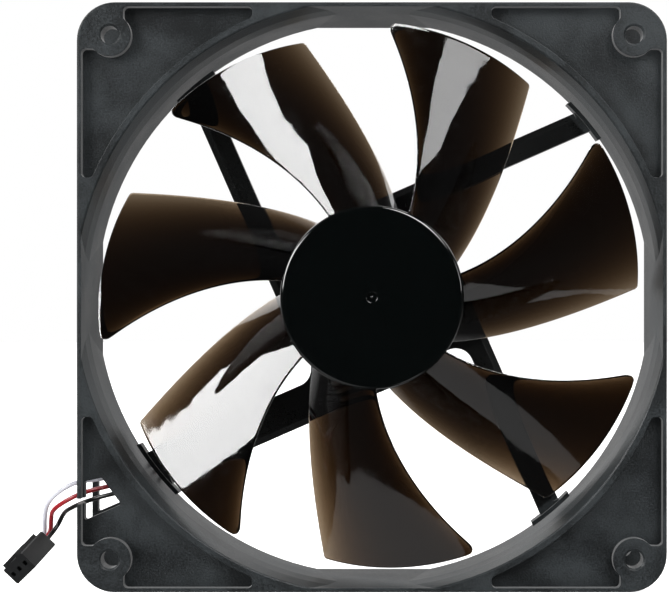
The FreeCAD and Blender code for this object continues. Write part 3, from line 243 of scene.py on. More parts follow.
# ---------------------------------------------------------------- sizes and colours
class FanSizes(bpy.types.PropertyGroup):
    """Sizes of the pieces that are rebuilt round the CAD model."""
    hub_radius: FloatProperty(
        name="Hub radius", description="Impeller hub", default=21.9 * MM, unit="LENGTH")
    hub_setback: FloatProperty(
        name="Hub setback", description="The hub's face behind the intake face",
        default=0.9 * MM, unit="LENGTH")
    hub_depth: FloatProperty(
        name="Hub depth", description="Axial depth of the hub", default=18.4 * MM, unit="LENGTH")
    hub_wall: FloatProperty(
        name="Hub wall", description="Wall of the hub", default=1.5 * MM, unit="LENGTH")
    hub_edge: FloatProperty(
        name="Hub edge", description="Rounded front edge of the hub",
        default=1.0 * MM, unit="LENGTH")
    tip_radius: FloatProperty(
        name="Tip radius", description="Blade tips", default=65.75 * MM, unit="LENGTH")
    blade_height: FloatProperty(
        name="Blade height", description="Axial height of a blade at the tip",
        default=16.0 * MM, unit="LENGTH")
    blade_root_height: FloatProperty(
        name="Blade height at the root", description="Axial height of a blade at the hub",
        default=14.6 * MM, unit="LENGTH")
    blade_camber: FloatProperty(
        name="Blade camber", description="Bow of a blade towards the intake",
        default=2.0 * MM, unit="LENGTH")
    blade_thickness: FloatProperty(
        name="Blade thickness", description="A blade at its thickest, by the hub",
        default=1.8 * MM, unit="LENGTH")
    blade_curl: FloatProperty(
        name="Blade curl", description="How far the trailing edge curls towards the exhaust",
        default=0.8 * MM, unit="LENGTH")
    blade_edge: FloatProperty(
        name="Blade edge", description="A blade at its leading and trailing edges",
        default=0.45 * MM, unit="LENGTH")
    edge_rounding: FloatProperty(
        name="Edge rounding", description="Rounding of a blade's edges",
        default=0.22 * MM, unit="LENGTH")
    front_corner: FloatProperty(
        name="Front corner", description="Rounded corner of the leading edge and the tip",
        default=3.0 * MM, unit="LENGTH")
    rear_corner: FloatProperty(
        name="Rear corner", description="Rounded corner of the trailing edge and the tip",
        default=0.8 * MM, unit="LENGTH")
    blades: IntProperty(name="Blades", description="Number of blades", default=7, min=2)
    lead_diameter: FloatProperty(
        name="Lead diameter", description="Insulation of one lead",
        default=1.1 * MM, unit="LENGTH")


class FanColours(bpy.types.PropertyGroup):
    """Colours that a user would change, as sRGB hex."""
    frame_dark: StringProperty(
        name="Frame, dark", description="Frame plastic, darker patches", default="0E1011")
    frame_light: StringProperty(
        name="Frame, light", description="Frame plastic, lighter patches", default="212527")
    smoke: StringProperty(
        name="Smoke tint", description="What the smoke-tinted plastic lets through",
        default="957834")
    white_lead: StringProperty(name="White lead", description="Insulation", default="B4B4BC")
    red_lead: StringProperty(name="Red lead", description="Insulation", default="850D18")
    black_lead: StringProperty(name="Black lead", description="Insulation", default="08090A")
    floor: StringProperty(name="Floor", description="Studio floor", default="D0D0D0")


def sizes():
    """The fan's sizes as set in this scene."""
    return bpy.context.scene.fan_sizes


def colours():
    """The fan's colours as set in this scene."""
    return bpy.context.scene.fan_colours


# ---------------------------------------------------------------- camera
# In metres: in front of the fan, a little to the right of its axis and below it.
CAMERA_PLACE = (0.0066, -0.4125, -0.0047)
# In millimetres.
CAMERA_LENS = 90.8
CAMERA_SENSOR = 36.0
# As shares of the sensor's width.
CAMERA_SHIFT = (-0.0975, 0.030)
# The camera sees nothing nearer than this, in metres.
CAMERA_NEAREST = 0.01


class FAN_OT_camera(bpy.types.Operator):
    """Camera in front of the fan, a little to the right of its axis and below it"""
    bl_idname = "fan.camera"
    bl_label = "Camera"

    def execute(self, context):
        data = bpy.data.cameras.new("camera")
        data.lens = CAMERA_LENS
        data.sensor_width = CAMERA_SENSOR
        data.shift_x, data.shift_y = CAMERA_SHIFT
        data.clip_start = CAMERA_NEAREST
        camera = bpy.data.objects.new("camera", data)
        camera.location = CAMERA_PLACE
        camera.rotation_euler = (math.radians(90), 0, 0)
        context.scene.collection.objects.link(camera)
        context.scene.camera = camera
        return {"FINISHED"}


# ---------------------------------------------------------------- leads
# Points of each free lead in millimetres, from the strut's channel to the plug.
LEAD_ROUTES = {
    "white": [
        (-52.78, 10.8, -39.99), (-56.99, 10.8, -41.84), (-61.6, 8.6, -43.9),
        (-66.6, 3.8, -44.6), (-72.2, 1.2, -44.9), (-76.8, 1.6, -47.2), (-80.4, 4.4, -50.4),
        (-82.0, 8.2, -54.4), (-82.68, 12.2, -60.78), (-84.3, 6.94, -63.08)],
    "red": [
        (-51.97, 10.8, -41.82), (-56.19, 10.8, -43.67), (-61.0, 8.2, -45.9),
        (-66.4, 3.0, -46.6), (-71.8, 0.6, -47.9), (-76.2, 1.6, -50.3), (-79.2, 5.0, -52.4),
        (-80.4, 8.6, -54.4), (-81.02, 11.33, -59.23), (-82.64, 5.81, -61.52)],
    "black": [
        (-51.17, 10.8, -43.65), (-55.38, 10.8, -45.5), (-60.0, 7.8, -47.7),
        (-65.6, 2.4, -48.5), (-70.9, 0.4, -50.0), (-74.6, 3.4, -51.8), (-77.1, 7.8, -53.4),
        (-79.36, 10.2, -57.67), (-80.97, 4.68, -59.97)],
}
# How bright the duller spots of the insulation are, as a share of its colour.
DULL_SHARE = 0.86


def insulation(name, hexadecimal):
    """PVC insulation, extruded: smooth, with a soft gloss that is slightly uneven."""
    material, tree, shader = new_material(name)
    full = linear(hexadecimal)
    dull = (*(part * DULL_SHARE for part in full[:3]), 1)
    place = node(tree, "ShaderNodeTexCoord")
    fine = node(tree, "ShaderNodeTexNoise", {
        "Vector": (place, "Object"), "Scale": 1 / (0.5 * MM)})
    colour = node(tree, "ShaderNodeMix", {0: (fine, "Fac"), 6: dull, 7: full}, data_type="RGBA")
    tree.links.new(colour.outputs[2], shader.inputs["Base Color"])
    spread = node(tree, "ShaderNodeMapRange", {
        "Value": (fine, "Fac"), "To Min": 0.22, "To Max": 0.38})
    tree.links.new(spread.outputs["Result"], shader.inputs["Roughness"])
    bump = node(tree, "ShaderNodeBump", {"Height": (fine, "Fac"), "Distance": 0.012 * MM})
    tree.links.new(bump.outputs["Normal"], shader.inputs["Normal"])
    return material


class FAN_OT_leads(bpy.types.Operator):
    """The three leads, from the channel of the lower left strut to the plug"""
    bl_idname = "fan.leads"
    bl_label = "Leads"

    def execute(self, context):
        hexadecimals = {"white": colours().white_lead, "red": colours().red_lead,
                        "black": colours().black_lead}
        for name, route in LEAD_ROUTES.items():
            coat = insulation(f"PVC insulation, {name}, extruded", hexadecimals[name])
            curve = bpy.data.curves.new(f"lead_{name}", "CURVE")
            curve.dimensions = "3D"
            spline = curve.splines.new("NURBS")
            spline.points.add(len(route) - 1)
            for point, place in zip(spline.points, route):
                point.co = (*(number * MM for number in place), 1)
            spline.order_u = 3
            spline.use_endpoint_u = True
            spline.resolution_u = 10
            curve.bevel_depth = sizes().lead_diameter / 2
            curve.bevel_resolution = 6
            curve.use_fill_caps = True
            curve.materials.append(coat)
            lead = bpy.data.objects.new(f"lead_{name}", curve)
            context.scene.collection.objects.link(lead)
            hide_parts(f"wire_{name}")
            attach(lead, body_of(f"wire_{name}"))
            dress_node(f"wire_{name}_held", coat)
        return {"FINISHED"}


# ---------------------------------------------------------------- impeller
# Direction of the first blade, and the angles of its edges from there round the axis at the
# hub, half-way and at the tip, in degrees.
FIRST_BLADE = 26.8
LEADING = (-11.4, -4.6, 8.9)
TRAILING = (-55.5, -38.2, -24.4)
# The leading edge behind the intake face, at the hub and at the tip.
LEADING_SETBACK = (2.6 * MM, 3.0 * MM)
# Where a blade starts to curl back towards its trailing edge, as a share of its chord.
CURL_START = 0.7
# How much thinner a blade is at its tip than at its root, as a share.
TIP_THINNING = 0.1
# How far a blade's root reaches into the hub, as a share of the hub's wall.
ROOT_REACH = 0.6
# Steps of a blade's mesh across its chord: in each rounded end, whose width is a share of
# the chord, and between them.
END_SHARE, END_STEPS, MIDDLE_STEPS = 0.055, 7, 26
# Steps from root to tip as shares: even, then closer together in the rounded tip.
RADIAL_SHARES = [step / 40 for step in range(38)] + [0.96, 0.975, 0.985, 0.993, 0.998, 1.0]
# How far to each side a blade's surface is sampled for its slope, along the chord as a
# share of it and outwards.
CHORD_SAMPLE = 0.01
OUTWARD_SAMPLE = 0.4 * MM


def through_three(three, share):
    """A parabola through three values at shares 0, one half and 1."""
    root, middle, tip = three
    return (root * (share - 0.5) * (share - 1) / 0.5 + middle * share * (share - 1) / -0.25
            + tip * share * (share - 0.5) / 0.5)


def blade_point(radius, chord_share):
    """Middle surface of the first blade, from its leading edge (0) to its trailing edge (1)."""
    size = sizes()
    share = math.log(radius / size.hub_radius) / math.log(size.tip_radius / size.hub_radius)
    leading = through_three(LEADING, share)
    trailing = through_three(TRAILING, share)
    turn = math.radians(FIRST_BLADE + leading + (trailing - leading) * chord_share)
    setback = LEADING_SETBACK[0] + (LEADING_SETBACK[1] - LEADING_SETBACK[0]) * share
    height = size.blade_root_height + (size.blade_height - size.blade_root_height) * share
    bow = 4 * size.blade_camber * chord_share * (1 - chord_share)
    rear_share = max(0.0, chord_share - CURL_START) / (1 - CURL_START)
    depth = INTAKE + setback + height * chord_share - bow + size.blade_curl * rear_share ** 2
    return Vector((radius * math.cos(turn), depth, radius * math.sin(turn)))


def blade_normal(radius, chord_share):
    """Direction square to the first blade's middle surface, towards the intake."""
    across = (blade_point(radius, chord_share + CHORD_SAMPLE)
              - blade_point(radius, chord_share - CHORD_SAMPLE))
    outward = (blade_point(radius + OUTWARD_SAMPLE, chord_share)
               - blade_point(radius - OUTWARD_SAMPLE, chord_share))
    normal = across.cross(outward).normalized()
    if normal.y > 0:
        normal.negate()
    return normal


# Largest value of the thickness rule sqrt(share) * (1 - share). It is a third of the way along
# the chord, so the front of a blade is full and its rear thin.
FULLEST = math.sqrt(1 / 3) * 2 / 3


def rounding(distance, radius):
    """How far a rounded edge of that radius stands back, at a distance from its end."""
    if distance >= radius:
        return 0.0
    return radius - math.sqrt(radius ** 2 - (radius - distance) ** 2)


def edge_steps(radius, steps, inner_steps):
    """Shares of a width of 1: fine over the rounded ends, even in between."""
    ends = [radius * (1 - math.cos(math.pi / 2 * step / steps)) for step in range(steps)]
    inner = [radius + (1 - 2 * radius) * step / inner_steps for step in range(inner_steps + 1)]
    return ends + inner + [1 - end for end in reversed(ends)]


def blade_object():
    """One blade as a closed shell: thin at its edges, rounded at its corners."""
    size = sizes()
    root = size.hub_radius - size.hub_wall * ROOT_REACH
    tip_chord = (blade_point(size.tip_radius, 0) - blade_point(size.tip_radius, 1)).length
    rows = []
    for radial_share in RADIAL_SHARES:
        front, rear = [], []
        for chord_share in edge_steps(END_SHARE, END_STEPS, MIDDLE_STEPS):
            top = size.tip_radius
            top -= rounding(chord_share * tip_chord, size.front_corner)
            top -= rounding((1 - chord_share) * tip_chord, size.rear_corner)
            radius = root + (top - root) * radial_share
            middle = blade_point(radius, chord_share)
            normal = blade_normal(radius, chord_share)
            fullness = math.sqrt(chord_share) * (1 - chord_share) / FULLEST
            tip_share = (radius - root) / (size.tip_radius - root)
            thick = size.blade_thickness * (1 - TIP_THINNING * tip_share)
            chord = (blade_point(radius, 0) - blade_point(radius, 1)).length
            near = min(chord_share, 1 - chord_share) * chord
            cut = rounding(near, size.edge_rounding) + rounding(top - radius, size.edge_rounding)
            front.append(middle + normal * (size.blade_edge - cut))
            bulge = (thick - size.blade_edge) * fullness
            rear.append(middle - normal * (bulge - cut))
        rows.append(front + rear[::-1])
    count = len(rows[0])
    vertices = [vertex for row in rows for vertex in row]
    faces = []
    for row in range(len(rows) - 1):
        for column in range(count):
            after = (column + 1) % count
            faces.append((row * count + column, row * count + after,
                          (row + 1) * count + after, (row + 1) * count + column))
    for row in (0, len(rows) - 1):
        for column in range(count // 2 - 1):
            faces.append((row * count + column, row * count + column + 1,
                          row * count + count - 2 - column, row * count + count - 1 - column))
    blade = mesh_object("blade", vertices, faces)
    outwards(blade)
    return blade


# Straight sides that stand for the hub's circle.
HUB_STEPS = 160


def hub_object():
    """The hub cup: rounded front edge, dimple with the moulding stub in its middle."""
    size = sizes()
    face = INTAKE + size.hub_setback
    rear = face + size.hub_depth
    inside = face + size.hub_wall
    bore = size.hub_radius - size.hub_wall
    stub = 0.45 * MM
    dimple = 1.2 * MM
    floor = face + 0.5 * MM
    floor_bevel = 0.1 * MM
    lip = 0.22 * MM
    rim_bevel = 0.2 * MM
    profile = [(0.0, face)]
    profile += arc((0, face + stub), stub, -75, 0, 6)
    profile += [(stub, floor), (dimple - floor_bevel, floor), (dimple, floor - floor_bevel)]
    profile += arc((dimple + lip, face + lip), lip, 180, 270, 6)
    # Two rings keep the shading of the face even, and one more that of the side.
    profile += [(4 * MM, face), (12 * MM, face)]
    profile += arc(
        (size.hub_radius - size.hub_edge, face + size.hub_edge), size.hub_edge, -90, 0, 12)
    profile += [(size.hub_radius, face + 6 * MM), (size.hub_radius, rear - rim_bevel)]
    profile += [(size.hub_radius - rim_bevel, rear), (bore + rim_bevel, rear)]
    profile += [(bore, rear - rim_bevel), (bore, inside), (0.0, inside)]
    hub = turned("hub", profile, HUB_STEPS)
    outwards(hub)
    return hub


def blade_ring_tree():
    """Geometry Nodes: copies of one blade round the Y axis, joined to the hub."""
    tree = bpy.data.node_groups.new("Blade ring", "GeometryNodeTree")
    face = tree.interface
    face.new_socket("Hub", in_out="INPUT", socket_type="NodeSocketGeometry")
    face.new_socket("Blade", in_out="INPUT", socket_type="NodeSocketObject")
    face.new_socket("Number of blades", in_out="INPUT", socket_type="NodeSocketInt")
    face.new_socket("Step between blades", in_out="INPUT", socket_type="NodeSocketFloat")
    face.new_socket("Blade finish", in_out="INPUT", socket_type="NodeSocketMaterial")
    face.new_socket("Hub finish", in_out="INPUT", socket_type="NodeSocketMaterial")
    face.new_socket("Impeller", in_out="OUTPUT", socket_type="NodeSocketGeometry")
    given = node(tree, "NodeGroupInput")
    points = node(tree, "GeometryNodeMeshLine", {
        "Count": (given, "Number of blades"), "Start Location": (0, 0, 0), "Offset": (0, 0, 0)},
        mode="OFFSET")
    number = node(tree, "GeometryNodeInputIndex")
    turn = node(tree, "ShaderNodeMath", {
        0: (number, "Index"), 1: (given, "Step between blades")}, operation="MULTIPLY")
    rotation = node(tree, "ShaderNodeCombineXYZ", {"Y": (turn, 0)})
    blade = node(tree, "GeometryNodeObjectInfo", {"Object": (given, "Blade")})
    copies = node(tree, "GeometryNodeInstanceOnPoints", {
        "Points": (points, "Mesh"), "Instance": (blade, "Geometry"),
        "Rotation": (rotation, "Vector")})
    painted_blades = node(tree, "GeometryNodeSetMaterial", {
        "Geometry": (copies, "Instances"), "Material": (given, "Blade finish")})
    painted_hub = node(tree, "GeometryNodeSetMaterial", {
        "Geometry": (given, "Hub"), "Material": (given, "Hub finish")})
    whole = node(tree, "GeometryNodeJoinGeometry")
    tree.links.new(painted_blades.outputs["Geometry"], whole.inputs["Geometry"])
    tree.links.new(painted_hub.outputs["Geometry"], whole.inputs["Geometry"])
    real = node(tree, "GeometryNodeRealizeInstances", {"Geometry": (whole, "Geometry")})
    node(tree, "NodeGroupOutput", {"Impeller": (real, "Geometry")})
    return tree


def set_inputs(modifier, values):
    """Sets a Geometry Nodes modifier's inputs by their names."""
    for item in modifier.node_group.interface.items_tree:
        if item.in_out == "INPUT" and item.name in values:
            modifier[item.identifier] = values[item.name]


# How strongly the plastic takes in light, per metre, where the tint is black.
SMOKE_DENSITY = 5000.0


def smoke_plastic():
    """Polycarbonate, smoke-tinted, injection-moulded in a polished mould: glossy and clear,
    brown where it is thin and nearly black where it is thick."""
    material, tree, shader = new_material("Smoke polycarbonate, polished mould")
    set_shader(shader, Base_Color=(1, 1, 1, 1), Transmission_Weight=1.0, IOR=1.58)
    place = node(tree, "ShaderNodeTexCoord")
    wave = node(tree, "ShaderNodeTexNoise", {"Vector": (place, "Object"), "Scale": 1 / (9 * MM)})
    smudge = node(tree, "ShaderNodeTexNoise", {
        "Vector": (place, "Object"), "Scale": 1 / (3 * MM), "Detail": 4.0, "Roughness": 0.6})
    spread = node(tree, "ShaderNodeMapRange", {
        "Value": (smudge, "Fac"), "From Min": 0.45, "From Max": 0.75,
        "To Min": 0.03, "To Max": 0.09})
    tree.links.new(spread.outputs["Result"], shader.inputs["Roughness"])
    bump = node(tree, "ShaderNodeBump", {
        "Height": (wave, "Fac"), "Distance": 0.05 * MM, "Strength": 1.0})
    tree.links.new(bump.outputs["Normal"], shader.inputs["Normal"])
    output = next(item for item in tree.nodes if item.type == "OUTPUT_MATERIAL")
    smoke = node(tree, "ShaderNodeVolumeAbsorption", {
        "Color": linear(colours().smoke), "Density": SMOKE_DENSITY})
    tree.links.new(smoke.outputs["Volume"], output.inputs["Volume"])
    return material


def backed_plastic():
    """The same plastic on the hub, where the steel cup behind it lets no light through:
    glossy black, with faint rubbing marks."""
    material, tree, shader = new_material("Smoke polycarbonate over steel, polished mould")
    place = node(tree, "ShaderNodeTexCoord")
    smudge = node(tree, "ShaderNodeTexNoise", {
        "Vector": (place, "Object"), "Scale": 1 / (2.5 * MM), "Detail": 5.0, "Roughness": 0.65})
    colour = node(tree, "ShaderNodeMix", {
        0: (smudge, "Fac"), 6: linear("010202"), 7: linear("030404")}, data_type="RGBA")
    tree.links.new(colour.outputs[2], shader.inputs["Base Color"])
    spread = node(tree, "ShaderNodeMapRange", {
        "Value": (smudge, "Fac"), "From Min": 0.4, "From Max": 0.75,
        "To Min": 0.05, "To Max": 0.12})
    tree.links.new(spread.outputs["Result"], shader.inputs["Roughness"])
    set_shader(shader, IOR=1.58)
    return material


class FAN_OT_impeller(bpy.types.Operator):
    """The impeller: seven smoke-tinted blades on a hub cup"""
    bl_idname = "fan.impeller"
    bl_label = "Impeller"

    def execute(self, context):
        blade = blade_object()
        hub = hub_object()
        ring = hub.modifiers.new("Blade ring", "NODES")
        ring.node_group = blade_ring_tree()
        set_inputs(ring, {
            "Blade": blade, "Number of blades": sizes().blades,
            "Step between blades": 2 * math.pi / sizes().blades,
            "Blade finish": smoke_plastic(), "Hub finish": backed_plastic()})
        impeller = plain_copy(hub, "impeller_moulding")
        bpy.data.objects.remove(blade)
        shade(impeller, 40)
        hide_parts("impeller")
        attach(impeller, body_of("impeller"))
        return {"FINISHED"}


# ---------------------------------------------------------------- frame
# From here inwards, from the axis, lie only the struts and the motor base; between the two
# the finish changes over to a smoother one, and the colour to a near-black that is painted shade.
INSIDE, OUTSIDE = 66.6 * MM, 67.0 * MM


def paint_shade_and_smooth_inside(material, shader):
    """The struts and the motor base come from a smoother part of the mould: less rough.
    Their colour is darkened as painted shade, for they lie deep in the duct behind the blades.
    """
    tree = material.node_tree
    place = node(tree, "ShaderNodeTexCoord")
    flat = node(tree, "ShaderNodeVectorMath", {0: (place, "Object"), 1: (1, 0, 1)},
                operation="MULTIPLY")
    radius = node(tree, "ShaderNodeVectorMath", {0: (flat, 0)}, operation="LENGTH")
    inside = node(tree, "ShaderNodeMapRange", {
        "Value": (radius, "Value"), "From Min": INSIDE, "From Max": OUTSIDE,
        "To Min": 1.0, "To Max": 0.0})
    mottled = shader.inputs["Base Color"].links[0].from_node
    # Painted shade: near-black 0A0B0B over the struts and the motor base, deep in the duct.
    colour = node(tree, "ShaderNodeMix", {
        0: (inside, "Result"), 6: (mottled, 2), 7: linear("0A0B0B")}, data_type="RGBA")
    tree.links.new(colour.outputs[2], shader.inputs["Base Color"])
    grained = shader.inputs["Roughness"].links[0].from_node
    smoother = node(tree, "ShaderNodeMath", {0: (inside, "Result"), 1: 0.12},
                    operation="MULTIPLY")
    roughness = node(tree, "ShaderNodeMath", {0: (grained, 0), 1: (smoother, 0)},
                     operation="SUBTRACT")
    tree.links.new(roughness.outputs[0], shader.inputs["Roughness"])


class FAN_OT_frame(bpy.types.Operator):
    """The frame, in matt dark grey plastic from a spark-eroded mould"""
    bl_idname = "fan.frame"
    bl_label = "Frame"

    def execute(self, context):
        # PBT with glass fibre from a spark-eroded mould: matt, with a fine even grain. The
        # grain is really about 0.1 mm; it is drawn 0.4 mm wide so that it shows.
        material, _, shader = textured(
            "PBT, dark grey, spark-eroded mould", colours().frame_dark, colours().frame_light,
            0.42, 0.4 * MM, 0.06 * MM, edge=0.2 * MM)
        set_shader(shader, Specular_IOR_Level=0.3)
        paint_shade_and_smooth_inside(material, shader)
        dress_node("frame", material)
        # The duct takes no part in reflections, so that the soft boxes reach the blade tips.
        frame["nodes"]["frame"].visible_glossy = False
        return {"FINISHED"}


# ---------------------------------------------------------------- plug
class FAN_OT_plug(bpy.types.Operator):
    """The three-way plug and its crimped terminals"""
    bl_idname = "fan.plug"
    bl_label = "Plug"

    def execute(self, context):
        # Nylon 6/6, injection-moulded in a satin mould: deep black with a dull gloss.
        nylon, _, shader = textured(
            "Nylon 66, black, satin mould", "070808", "101112", 0.45, 0.3 * MM, 0.01 * MM)
        set_shader(shader, Specular_IOR_Level=0.2)
        # Phosphor bronze strip, stamped, tin-plated: pale grey metal with a satin gloss.
        tin, _, _ = textured(
            "Phosphor bronze, tin-plated", "9A9A96", "C2C1BC", 0.32, 0.2 * MM, 0.004 * MM,
            metallic=1.0)
        dress_node("connector_housing", nylon)
        dress_node("connector_terminals", tin)
        return {"FINISHED"}


# ---------------------------------------------------------------- motor
# CAD node: material slot, name, dark and light colour, roughness, grain in mm, metallic.
MOTOR_FINISHES = {
    # Deep-drawn and zinc-plated: bluish grey metal, brushed by the drawing.
    "rotor_yoke": ("yoke_steel", "Steel, deep-drawn, zinc-plated", "8E8F90", "A9AAAC",
                   0.34, 0.4, 1.0),
    # Ferrite powder in a binder: dull, nearly black, with a sandy grain.
    "magnet_ring": ("ferrite", "Ferrite, plastic-bonded", "1E1E20", "2C2B2D", 0.6, 0.25, 0.0),
    # Turned on a lathe: bright yellow metal.
    "shaft_bush": ("brass", "Brass, turned", "B08C46", "C9A55C", 0.28, 0.3, 1.0),
    # Ground and hardened: nearly a mirror, pale grey.
    "shaft": ("shaft_steel", "Steel, ground and hardened", "A4A6A8", "C4C6C8", 0.16, 0.2, 1.0),
    # Undyed nylon, punched from sheet or moulded: cream, with a waxy gloss.
    "wear_washer": ("nylon", "Nylon, punched washer", "D9D4C4", "EAE6D8", 0.45, 0.3, 0.0),
    "retaining_clip": ("nylon", "Nylon, moulded clip", "D9D4C4", "EAE6D8", 0.45, 0.3, 0.0),
    "oil_seal_ring": ("nylon", "Nylon, moulded ring", "D9D4C4", "EAE6D8", 0.45, 0.3, 0.0),
    "thrust_cap": ("nylon", "Nylon, moulded cap", "D9D4C4", "EAE6D8", 0.45, 0.3, 0.0),
    # Drawn through a die: yellow metal, a little duller than turned brass.
    "bearing_tube": ("brass", "Brass, drawn tube", "AE8A44", "C8A45A", 0.3, 0.3, 1.0),
    # Pressed from bronze powder and soaked in oil: dark brown metal, matt and porous.
    "sleeve_bearing": ("sintered_bronze", "Bronze, sintered, oiled", "6E5232", "8B6A42",
                       0.55, 0.12, 1.0),
    # Punched sheets in a stack: grey metal with a half-matt skin.
    "stator_core": ("lamination_steel", "Silicon steel, punched", "6C6E72", "86888C",
                    0.42, 0.35, 1.0),
    # Undyed PBT, moulded: greyish cream, half matt.
    "insulator_front": ("bobbin_plastic", "PBT, natural, moulded", "C9C6B8", "DAD7CA",
                        0.5, 0.4, 0.0),
    "insulator_rear": ("bobbin_plastic", "PBT, natural, moulded", "C9C6B8", "DAD7CA",
                       0.5, 0.4, 0.0),
    # Copper under clear enamel: reddish brown with a wet gloss.
    "winding_coils": ("enamelled_copper", "Copper wire, enamelled", "8A4A22", "B5672F",
                      0.3, 0.2, 1.0),
    # Dipped in tin: pale grey metal, softly shining.
    "winding_pins": ("tinned_steel", "Steel pins, tinned", "9C9D9E", "BDBEBF", 0.3, 0.15, 1.0),
    # Glass cloth in epoxy under green solder mask: glossy green, slightly uneven.
    "circuit_board": ("board_laminate", "Glass epoxy board, solder mask", "14502E", "1C6A3C",
                      0.36, 0.5, 0.0),
    # Filled epoxy, moulded round the chip: charcoal, matt and finely gritty.
    "hall_sensor": ("chip_epoxy", "Epoxy, transfer-moulded", "141415", "212123", 0.5, 0.15, 0.0),
    "driver_chip": ("chip_epoxy", "Epoxy, transfer-moulded", "141415", "212123", 0.5, 0.15, 0.0),
    "polarity_diode": ("chip_epoxy", "Epoxy, transfer-moulded", "141415", "212123",
                       0.5, 0.15, 0.0),
    # Drawn from bare aluminium: silvery, softly shining.
    "smoothing_capacitor": ("capacitor_can", "Aluminium can, drawn", "A2A5A8", "BCBFC2",
                            0.3, 0.3, 1.0),
    # Ceramic under dark glaze: smooth, bluish black.
    "board_resistors": ("resistor_ceramic", "Alumina, glazed", "24252A", "3A3B42",
                        0.35, 0.2, 0.0),
    # White film with a satin coat: pale grey, nearly even.
    "base_label": ("label_film", "Polyester film, satin", "B9BBBC", "CDCFD0", 0.32, 1.2, 0.0),
}
# The motor pieces' relief, and the width of their patches.
MOTOR_RELIEF, MOTOR_PATCH = 0.01 * MM, 4 * MM


class FAN_OT_motor(bpy.types.Operator):
    """The motor's own pieces: rotor, bearing, stator, windings and board"""
    bl_idname = "fan.motor"
    bl_label = "Motor"

    def execute(self, context):
        made = {}
        for piece, finish in MOTOR_FINISHES.items():
            slot_name, name, dark, light, roughness, grain, metallic = finish
            if name not in made:
                made[name], _, _ = textured(
                    name, dark, light, roughness, grain * MM, MOTOR_RELIEF, MOTOR_PATCH, metallic)
            dress_node(piece, made[name])
        return {"FINISHED"}


# ---------------------------------------------------------------- stage
# Soft boxes in front: name, radiance, and corners as azimuth and height angle in degrees.
SOFT_BOXES = (
    ("key_right", 15.0, (
        (20, 24), (42, 24), (45, 41), (50, 46), (54, 49), (44, 51.5), (42, 70), (15, 70))),
    ("key_left", 15.0, ((-60, 5), (-40, 5), (-40, 34), (-62, 35), (-88, 32))),
    ("strip_right", 6.5, ((44, 3), (58, 5), (62, 10), (56, 20), (48, 20))),
    ("low_left", 0.6, ((-85, -20), (-20, -30), (-2, -66), (-80, -66))),
    ("low_right", 0.8, ((36, -48), (85, -54), (85, -70), (36, -70))),
)
# Lamps behind: name, azimuth and height angle in degrees, and radiance.
REAR_LAMPS = (("rear_right", 140.0, 38.0, 3.0), ("rear_left", -145.0, 30.0, 2.0))
LAMP_SIDE = 0.9
# From the middle of the fan to each soft box and lamp.
LIGHT_DISTANCE = 1.5
# Radii of the floor's rings, and the straight sides that stand for its circle.
FLOOR_RINGS = (0.0, 0.3, 4.0)
FLOOR_STEPS = 96


def towards(azimuth, height):
    """Direction from the fan; azimuth 0 is straight in front and grows to the right."""
    turn, lift = math.radians(azimuth), math.radians(height)
    return Vector((math.sin(turn) * math.cos(lift), -math.cos(turn) * math.cos(lift),
                   math.sin(lift)))


def soft_boxes():
    """Stretched diffuser fabric, lit from behind: even white panels that only light the fan."""
    for name, radiance, corners in SOFT_BOXES:
        box = mesh_object(
            name, [towards(*corner) * LIGHT_DISTANCE for corner in corners],
            [range(len(corners))])
        diffuser, _, shader = new_material(f"Diffuser fabric, {name}")
        set_shader(shader, Base_Color=(0, 0, 0, 1), Specular_IOR_Level=0.0,
                   Emission_Color=(1, 1, 1, 1), Emission_Strength=radiance)
        box.data.materials.append(diffuser)
        box.visible_camera = False
        box.visible_transmission = False
        box.visible_shadow = False


def rear_lamps():
    """Square lamps behind the fan that light its exhaust side."""
    for name, azimuth, height, radiance in REAR_LAMPS:
        data = bpy.data.lights.new(name, "AREA")
        data.size = LAMP_SIDE
        data.energy = radiance * math.pi * LAMP_SIDE ** 2
        lamp = bpy.data.objects.new(name, data)
        lamp.location = towards(azimuth, height) * LIGHT_DISTANCE
        lamp.rotation_euler = towards(azimuth, height).to_track_quat("Z", "Y").to_euler()
        bpy.context.scene.collection.objects.link(lamp)


def studio_floor():
    """A round pale floor under the fan, lit so evenly that it has no horizon."""
    floor = turned("studio_floor", [(radius, 0.0) for radius in FLOOR_RINGS], FLOOR_STEPS)
    floor.data.transform(
        Matrix.Translation((0, 0, CAD_BOX[0].z)) @ Matrix.Rotation(math.pi / 2, 4, "X"))
    outwards(floor)
    # Matt laminate, pale: almost no grain.
    laminate, _, shader = textured(
        "Studio laminate, matt", colours().floor, "DADADA", 0.8, 2 * MM, 0.02 * MM)
    set_shader(shader, Emission_Color=(1, 1, 1, 1), Emission_Strength=1.0)
    floor.data.materials.append(laminate)
    floor.visible_glossy = False
    floor.visible_shadow = False


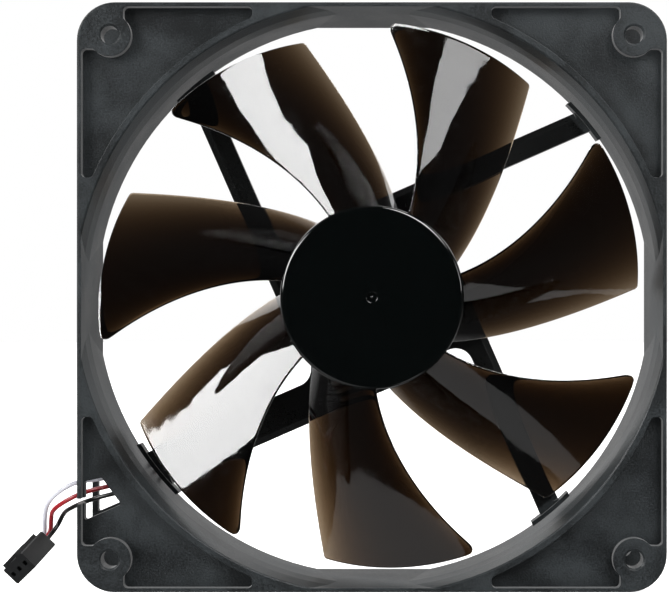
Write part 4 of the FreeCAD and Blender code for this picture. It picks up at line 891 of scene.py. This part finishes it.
def surround():
    """White behind the fan, brighter to the upper left, and dark in front of it, where the
    room is, so that glossy faces turned to the front stay black. Seen straight or through
    the smoke plastic it is white all round."""
    world = bpy.data.worlds.new("studio")
    world.use_nodes = True
    tree = world.node_tree
    tree.nodes.clear()
    place = node(tree, "ShaderNodeTexCoord")
    parts = node(tree, "ShaderNodeSeparateXYZ", {"Vector": (place, "Generated")})
    room = node(tree, "ShaderNodeMapRange", {
        "Value": (parts, "Y"), "From Min": -0.95, "From Max": -0.4,
        "To Min": 0.015, "To Max": 0.06})
    backdrop = node(tree, "ShaderNodeMapRange", {
        "Value": (parts, "Y"), "From Min": 0.4, "From Max": 0.6})
    slant = node(tree, "ShaderNodeVectorMath", {0: (place, "Generated"), 1: (-0.3, 0, 0.3)},
                 operation="DOT_PRODUCT")
    lift = node(tree, "ShaderNodeMath", {0: (slant, "Value"), 1: 0.65}, operation="ADD")
    behind = node(tree, "ShaderNodeMath", {0: (backdrop, "Result"), 1: (lift, 0)},
                  operation="MULTIPLY")
    all_round = node(tree, "ShaderNodeMath", {0: (room, "Result"), 1: (behind, 0)},
                     operation="MAXIMUM")
    ray = node(tree, "ShaderNodeLightPath")
    seen = node(tree, "ShaderNodeMath", {
        0: (ray, "Is Camera Ray"), 1: (ray, "Is Transmission Ray")}, operation="MAXIMUM")
    strength = node(tree, "ShaderNodeMath", {0: (seen, 0), 1: (all_round, 0)},
                    operation="MAXIMUM")
    background = node(tree, "ShaderNodeBackground", {
        "Color": (1, 1, 1, 1), "Strength": (strength, 0)})
    node(tree, "ShaderNodeOutputWorld", {"Surface": (background, "Background")})
    bpy.context.scene.world = world


class FAN_OT_stage(bpy.types.Operator):
    """Pale floor, soft boxes and a white surround"""
    bl_idname = "fan.stage"
    bl_label = "Stage"

    def execute(self, context):
        soft_boxes()
        rear_lamps()
        studio_floor()
        surround()
        context.scene.view_settings.view_transform = "Standard"
        return {"FINISHED"}


# ---------------------------------------------------------------- panel and run
OPERATORS = (
    FAN_OT_camera, FAN_OT_leads, FAN_OT_plug, FAN_OT_frame, FAN_OT_impeller, FAN_OT_motor,
    FAN_OT_stage)


class FAN_PT_panel(bpy.types.Panel):
    """Sizes, colours and pieces of the case fan"""
    bl_idname = "FAN_PT_panel"
    bl_label = "Case Fan"
    bl_space_type = "VIEW_3D"
    bl_region_type = "UI"
    bl_category = "Case Fan"

    def draw(self, context):
        for group in (context.scene.fan_sizes, context.scene.fan_colours):
            box = self.layout.box()
            for name in group.__annotations__:
                box.prop(group, name)
        for operator in OPERATORS:
            self.layout.operator(operator.bl_idname)


CLASSES = (FanSizes, FanColours, *OPERATORS, FAN_PT_panel)


def register():
    for item in CLASSES:
        bpy.utils.register_class(item)
    bpy.types.Scene.fan_sizes = PointerProperty(type=FanSizes)
    bpy.types.Scene.fan_colours = PointerProperty(type=FanColours)


def unregister():
    del bpy.types.Scene.fan_colours
    del bpy.types.Scene.fan_sizes
    for item in reversed(CLASSES):
        bpy.utils.unregister_class(item)


def main():
    register()
    for operator in OPERATORS:
        group, name = operator.bl_idname.split(".")
        getattr(getattr(bpy.ops, group), name)()


if __name__ == "__main__":
    main()
